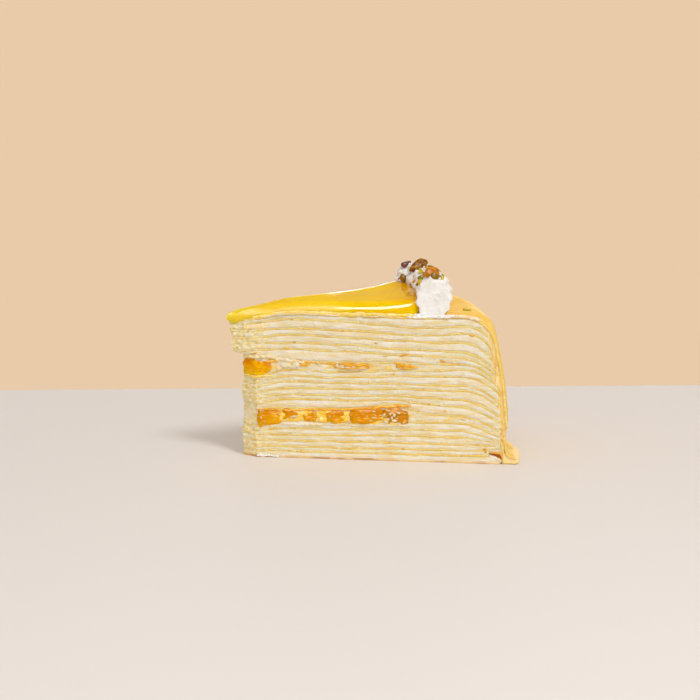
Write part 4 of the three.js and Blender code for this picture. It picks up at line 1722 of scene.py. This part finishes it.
# %% [markdown]
# ## Smears and crumbs
#
# Cutting leaves small things on the faces: cream wiped over the crepe edges, a ruffle of whipped
# cream under the ridge, gel and cream along the foot of the glaze, crumbs of crepe. They could be
# painted into the materials, but they stand out a little and catch the light. A smear is a row of
# flattened dabs that are melted together. All of them are set on the real, uneven surface, which
# is found by looking at it from outside.

# %% Finding the cut surface
LOOK_FROM = 20 * MM
DEEPEST = 3 * MM
FACES = {
    "near": (NEAR_ALONG, NEAR_NORMAL, -HALF_ANGLE),
    "far": (FAR_ALONG, FAR_NORMAL, HALF_ANGLE),
}


def trees_of(*names):
    """Search trees of all pieces whose names start with one of these."""
    graph = bpy.context.evaluated_depsgraph_get()
    return [BVHTree.FromObject(o, graph) for o in bpy.data.objects if o.name.startswith(names)]


BARE_TREES = trees_of("crepe_layer", "cream_layer")
TREES = BARE_TREES + trees_of("mango_chunk", "mango_gel", "piped_cream")


def on_cut(face, along, height, under_fruit=False, at_edge=False):
    """The place on a cut, in mm from the tip's line and in height; None where nothing is.

    Along the top edge, where a look can pass over the cake, it is the flat cut itself.
    """
    direction, normal, _ = FACES[face]
    flat = APEX + direction * along * MM + UP * height * MM
    trees = BARE_TREES if under_fruit else TREES
    hits = [tree.ray_cast(flat + normal * LOOK_FROM, -normal) for tree in trees]
    reached = [hit for hit in hits if hit[0] and hit[3] < LOOK_FROM + DEEPEST]
    if reached:
        return min(reached, key=lambda hit: hit[3])[0]
    return flat if at_edge else None


print("pieces that smears can stick to", len(TREES))

# %% Dabs that are melted together
DAB = ball(2)
MELT = 0.2 * MM
LOW_RELIEF = 0.3 * MM
TILT = 0.25


def smear(name, look, slot, face, dabs, relief=LOW_RELIEF, under_fruit=False, at_edge=False):
    """Flattened dabs on a cut, melted together: along, height, length, tall and proud in mm."""
    bits = []
    for n, (along, height, length, tall, proud) in enumerate(dabs):
        tilt = CHANCE.uniform(-TILT, TILT)
        size = (length / 2 * MM, proud * MM, tall / 2 * MM)
        place = on_cut(face, along, height, under_fruit, at_edge)
        if place:
            bits.append(place_copy(DAB, f"{name}_{n}", size, (0, tilt, FACES[face][2]), place))
    piece = join_as(name, bits)
    finish_modifier(piece, "REMESH", mode="VOXEL", voxel_size=MELT)
    finish_modifier(piece, "SMOOTH", factor=0.5, iterations=2)
    push(piece, GRAIN, relief)
    coat(piece, look)
    hand_over(piece, slot)


print("faces of a dab", len(DAB.data.polygons))

# %% Rows and scatters of dabs
JUMP = 0.2


def row(start, end, step, length, tall, proud):
    """Dabs in a row between two places, each (along, height), with sizes that vary."""
    count = max(round((end[0] - start[0]) / step), 1)
    dabs = []
    for i in range(count + 1):
        share = i / count
        along = vary(start[0] + (end[0] - start[0]) * share, 0.004)
        height = start[1] + (end[1] - start[1]) * share + CHANCE.uniform(-JUMP, JUMP)
        dabs.append((along, height, vary(length), vary(tall), vary(proud)))
    return dabs


def sprinkle(count, along, height, length, tall, proud):
    """Dabs anywhere in a stretch of the cut."""
    dabs = []
    for _ in range(count):
        place = (CHANCE.uniform(*along), CHANCE.uniform(*height))
        dabs.append((*place, vary(length, 0.5), vary(tall, 0.4), vary(proud)))
    return dabs


print("dabs jump by up to", JUMP, "mm")

# %% Along the top edge
EDGE_INSIDE = 0.6 * MM
RUFFLED = 0.5 * MM


def edge_line(name, look, slot, face, dabs, relief=LOW_RELIEF):
    """A smear along the top edge, with heights that are given above the top crepe there."""
    direction, normal, _ = FACES[face]
    placed = []
    for along, height, *size in dabs:
        inside = APEX + direction * along * MM - normal * EDGE_INSIDE
        placed.append((along, top_under(inside) / MM + height, *size))
    smear(f"{name}_{face}", look, slot, face, placed, relief, at_edge=True)


GEL_FOOT = two_tone(
    "gel_and_cream", colour(255, 208, 72), colour(255, 224, 132), roughness=0.3, soft=0.1
)
EDGE_SMEAR = two_tone("edge_smear", colour(250, 228, 190), colour(243, 208, 164))
for face in FACES:
    ruffle = row((76.5, 0.0), (83, 0.1), step=1.1, length=2.8, tall=0.8, proud=0.6)
    ruffle += row((83, 0.2), (95, 0.3), step=1.2, length=2.6, tall=1.4, proud=0.8)
    ruffle += row((79.5, 0.6), (82.5, 1.2), step=1.0, length=2.2, tall=1.8, proud=0.6)
    edge_line("ruffle", WHIPPED, "whipped_cream", face, ruffle, RUFFLED)
    beyond = row((94, 0.5), (106, 0.3), step=1.2, length=2.8, tall=1.3, proud=0.7)
    edge_line("edge_smear", EDGE_SMEAR, "crepe", face, beyond)
    foot = row((11, 0.4), (24, 0.6), step=1.2, length=4.4, tall=1.1, proud=0.4)
    foot += row((24, 0.6), (77, 0.5), step=1.4, length=4.8, tall=1.5, proud=0.4)
    edge_line("gel_foot", GEL_FOOT, "glaze", face, foot)
    streaks = row((14, 0.0), (46, -0.1), step=1.8, length=3.6, tall=0.5, proud=0.75)
    streaks += row((55, -0.1), (66, -0.1), step=1.8, length=3.0, tall=0.4, proud=0.7)
    edge_line("foot_streaks", CREAM, "cream", face, streaks)
print("lines along the top edge made")

# %% [markdown]
# ## Juice, pulp and bits round the fruit
#
# The knife squeezes juice and pulp out of the fruit and draws them along the cut, and bits of
# cream stick to the wet flesh. Juice runs behind the chunks, so its dabs look past the fruit for
# the layer under it. Pulp and bits lie on whatever comes first.

# %% Juice and cream round the fruit
JUICE = two_tone(
    "mango_juice", colour(255, 222, 120), colour(255, 200, 52), roughness=0.22, soft=0.05
)
PULP = two_tone(
    "mango_pulp", colour(246, 182, 40), colour(232, 154, 16), roughness=0.22, soft=0.05
)
for face in FACES:
    juice = row((17, 18.3), (75, 19.6), step=0.9, length=3.2, tall=5.0, proud=0.3)
    juice += sprinkle(26, (20, 76), (16, 20.5), length=3.2, tall=2.0, proud=0.45)
    juice += row((8, 34.9), (17, 35.3), step=1.4, length=3.4, tall=1.0, proud=0.4)
    smear(f"juice_{face}", JUICE, "mango", face, juice, under_fruit=True)
    pulp = row((13, 21.0), (24, 20.9), step=1.2, length=2.6, tall=0.7, proud=0.5)
    pulp += row((24, 20.9), (50, 21.9), step=1.2, length=3.0, tall=0.7, proud=0.5)
    pulp += row((50, 21.9), (76, 24.3), step=1.2, length=3.0, tall=1.0, proud=0.5)
    pulp += row((28, 42.1), (61, 41.0), step=1.2, length=2.4, tall=0.45, proud=0.4)
    pulp += row((71, 42.2), (80, 41.0), step=1.2, length=2.0, tall=0.6, proud=0.4)
    pulp += row((16.5, 41.6), (21, 42.5), step=1.0, length=2.6, tall=1.1, proud=0.7)
    smear(f"pulp_{face}", PULP, "mango", face, pulp)
    bits = sprinkle(26, (10, 66), (15, 22), length=0.7, tall=0.45, proud=0.7)
    bits += sprinkle(12, (66, 73), (16, 21.5), length=1.6, tall=1.1, proud=0.9)
    bits += row((23, 14.9), (76, 15.6), step=1.9, length=3.2, tall=0.9, proud=0.6)
    bits += sprinkle(22, (22, 86), (38.2, 42.6), length=2.0, tall=0.6, proud=0.4)
    smear(f"bits_on_fruit_{face}", CREAM, "cream", face, bits)
print("juice made")

# %% [markdown]
# ## Cream wiped over the cuts
#
# A knife leaves thin films of cream on the crepe edges and thicker bits above the fruit. The
# films are so flat that each is one dab in a wide scatter. The bits are rows with more relief.

# %% Wiped films and bits of cream
WIPES = 90
COARSE = 0.9 * MM
CRUMBLY_RELIEF = 0.6 * MM

for face in FACES:
    wipes = sprinkle(WIPES, (12, 110), (2, 60), length=3.2, tall=0.7, proud=0.16)
    smear(f"wiped_cream_{face}", CREAM, "cream", face, wipes)
crumbs_at_foot = row((11.7, 0.7), (20, 0.6), step=1.2, length=1.3, tall=1.0, proud=1.2)
over_fruit = row((7, 43.4), (19, 44.0), step=1.3, length=3.0, tall=1.6, proud=0.9)
over_fruit += row((19, 43.0), (31, 41.8), step=1.6, length=3.0, tall=1.3, proud=0.8)
beside_fruit = sprinkle(12, (20, 29), (38.5, 42.5), length=3.0, tall=1.6, proud=0.9)
smear("cream_bits", CREAM, "cream", "near", over_fruit + beside_fruit, COARSE)
smear("crumbs_at_foot", WHIPPED, "cream", "near", crumbs_at_foot, CRUMBLY_RELIEF)
long_wipe = row((78, 33.3), (87.5, 32.8), step=1.0, length=2.6, tall=1.8, proud=0.35)
smear("long_wipe", CREAM, "cream", "far", long_wipe)
print("wipes made")

# %% [markdown]
# ## Crumbs of crepe and fruit
#
# Last come the crumbs that the knife tore off: a few browned ones that catch the eye, each at a
# place of its own, and a dusting of pale ones anywhere. All are copies of the nut chip with few
# faces, pressed flat on the cut.

# %% Crumbs on the cuts
# Along, height, length and tall in mm.
DARK_SPOTS = [
    (24.0, 47.7, 2.6, 0.7), (10.7, 45.2, 2.4, 0.6), (62.5, 50.9, 1.6, 0.6), (103.2, 55.1, 2.4, 0.7),
    (74.9, 46.1, 4.6, 0.8), (91.0, 44.0, 2.8, 0.9), (70.2, 37.8, 1.0, 0.8), (92.0, 22.4, 1.0, 0.8),
    (99.7, 18.8, 2.2, 0.5), (85.8, 62.7, 0.9, 1.1), (19.7, 42.4, 3.4, 1.0), (66.5, 45.2, 2.6, 0.5),
    (109.2, 6.6, 1.6, 1.0), (30.5, 42.3, 4.5, 0.7), (33.5, 41.2, 2.2, 0.6),
]
SPOTS_FAR = 12
CRUMBS = 34
SPOTS_ALONG = (12, 110)
SPOTS_UP = (3, 58)
CRUMBS_ON_FACE = (4, 112)
CRUMBS_UP = (1, 60)
CRUMB_TILT = 0.3
CRUMB_SHARP = 40
DARK_CRUMB = two_tone("dark_crumb", colour(240, 186, 60), colour(222, 156, 36), soft=0)
PALE_CRUMB = two_tone("pale_crumb", colour(244, 208, 116), colour(250, 228, 168), soft=0)


def crumbs(name, look, slot, spots):
    """Small chips pressed into the cuts: face, along, height, length and tall in mm."""
    bits = []
    for n, (face, along, height, length, tall) in enumerate(spots):
        size = halves((length, min(length, tall), tall))
        turn = (0, CHANCE.uniform(-CRUMB_TILT, CRUMB_TILT), FACES[face][2])
        place = on_cut(face, along, height)
        if place:
            bits.append(place_copy(CHIP, f"{name}_{n}", size, turn, place))
    piece = join_as(name, bits)
    coat(piece, look, CRUMB_SHARP)
    hand_over(piece, slot)


dark = [("near", *spot) for spot in DARK_SPOTS]
for _ in range(SPOTS_FAR):
    place = (CHANCE.uniform(*SPOTS_ALONG), CHANCE.uniform(*SPOTS_UP))
    dark.append(("far", *place, vary(2.2, 0.5), vary(0.7)))
crumbs("dark_crumbs", DARK_CRUMB, "crepe", dark)
pale = []
for face in FACES:
    for _ in range(CRUMBS):
        size = vary(0.8, 0.4)
        place = (CHANCE.uniform(*CRUMBS_ON_FACE), CHANCE.uniform(*CRUMBS_UP))
        pale.append((face, *place, size, vary(size)))
crumbs("pale_crumbs", PALE_CRUMB, "crepe", pale)
for model in (KERNEL, CHIP, DAB):
    bpy.data.objects.remove(model)
print("crumbs made", len(dark) + len(pale))

# %% [markdown]
# ## Rulers and size
#
# The rulers only measured the patterns and aren't part of the cake, so they are taken away. Then
# the size of the CAD bodies is printed.

# %% Rulers and size
for ruler in [o for o in bpy.data.objects if o.name.endswith("_ruler")]:
    bpy.data.objects.remove(ruler)
bpy.context.view_layer.update()
print("CAD size", [round(v, 4) for v in cad_high - cad_low])
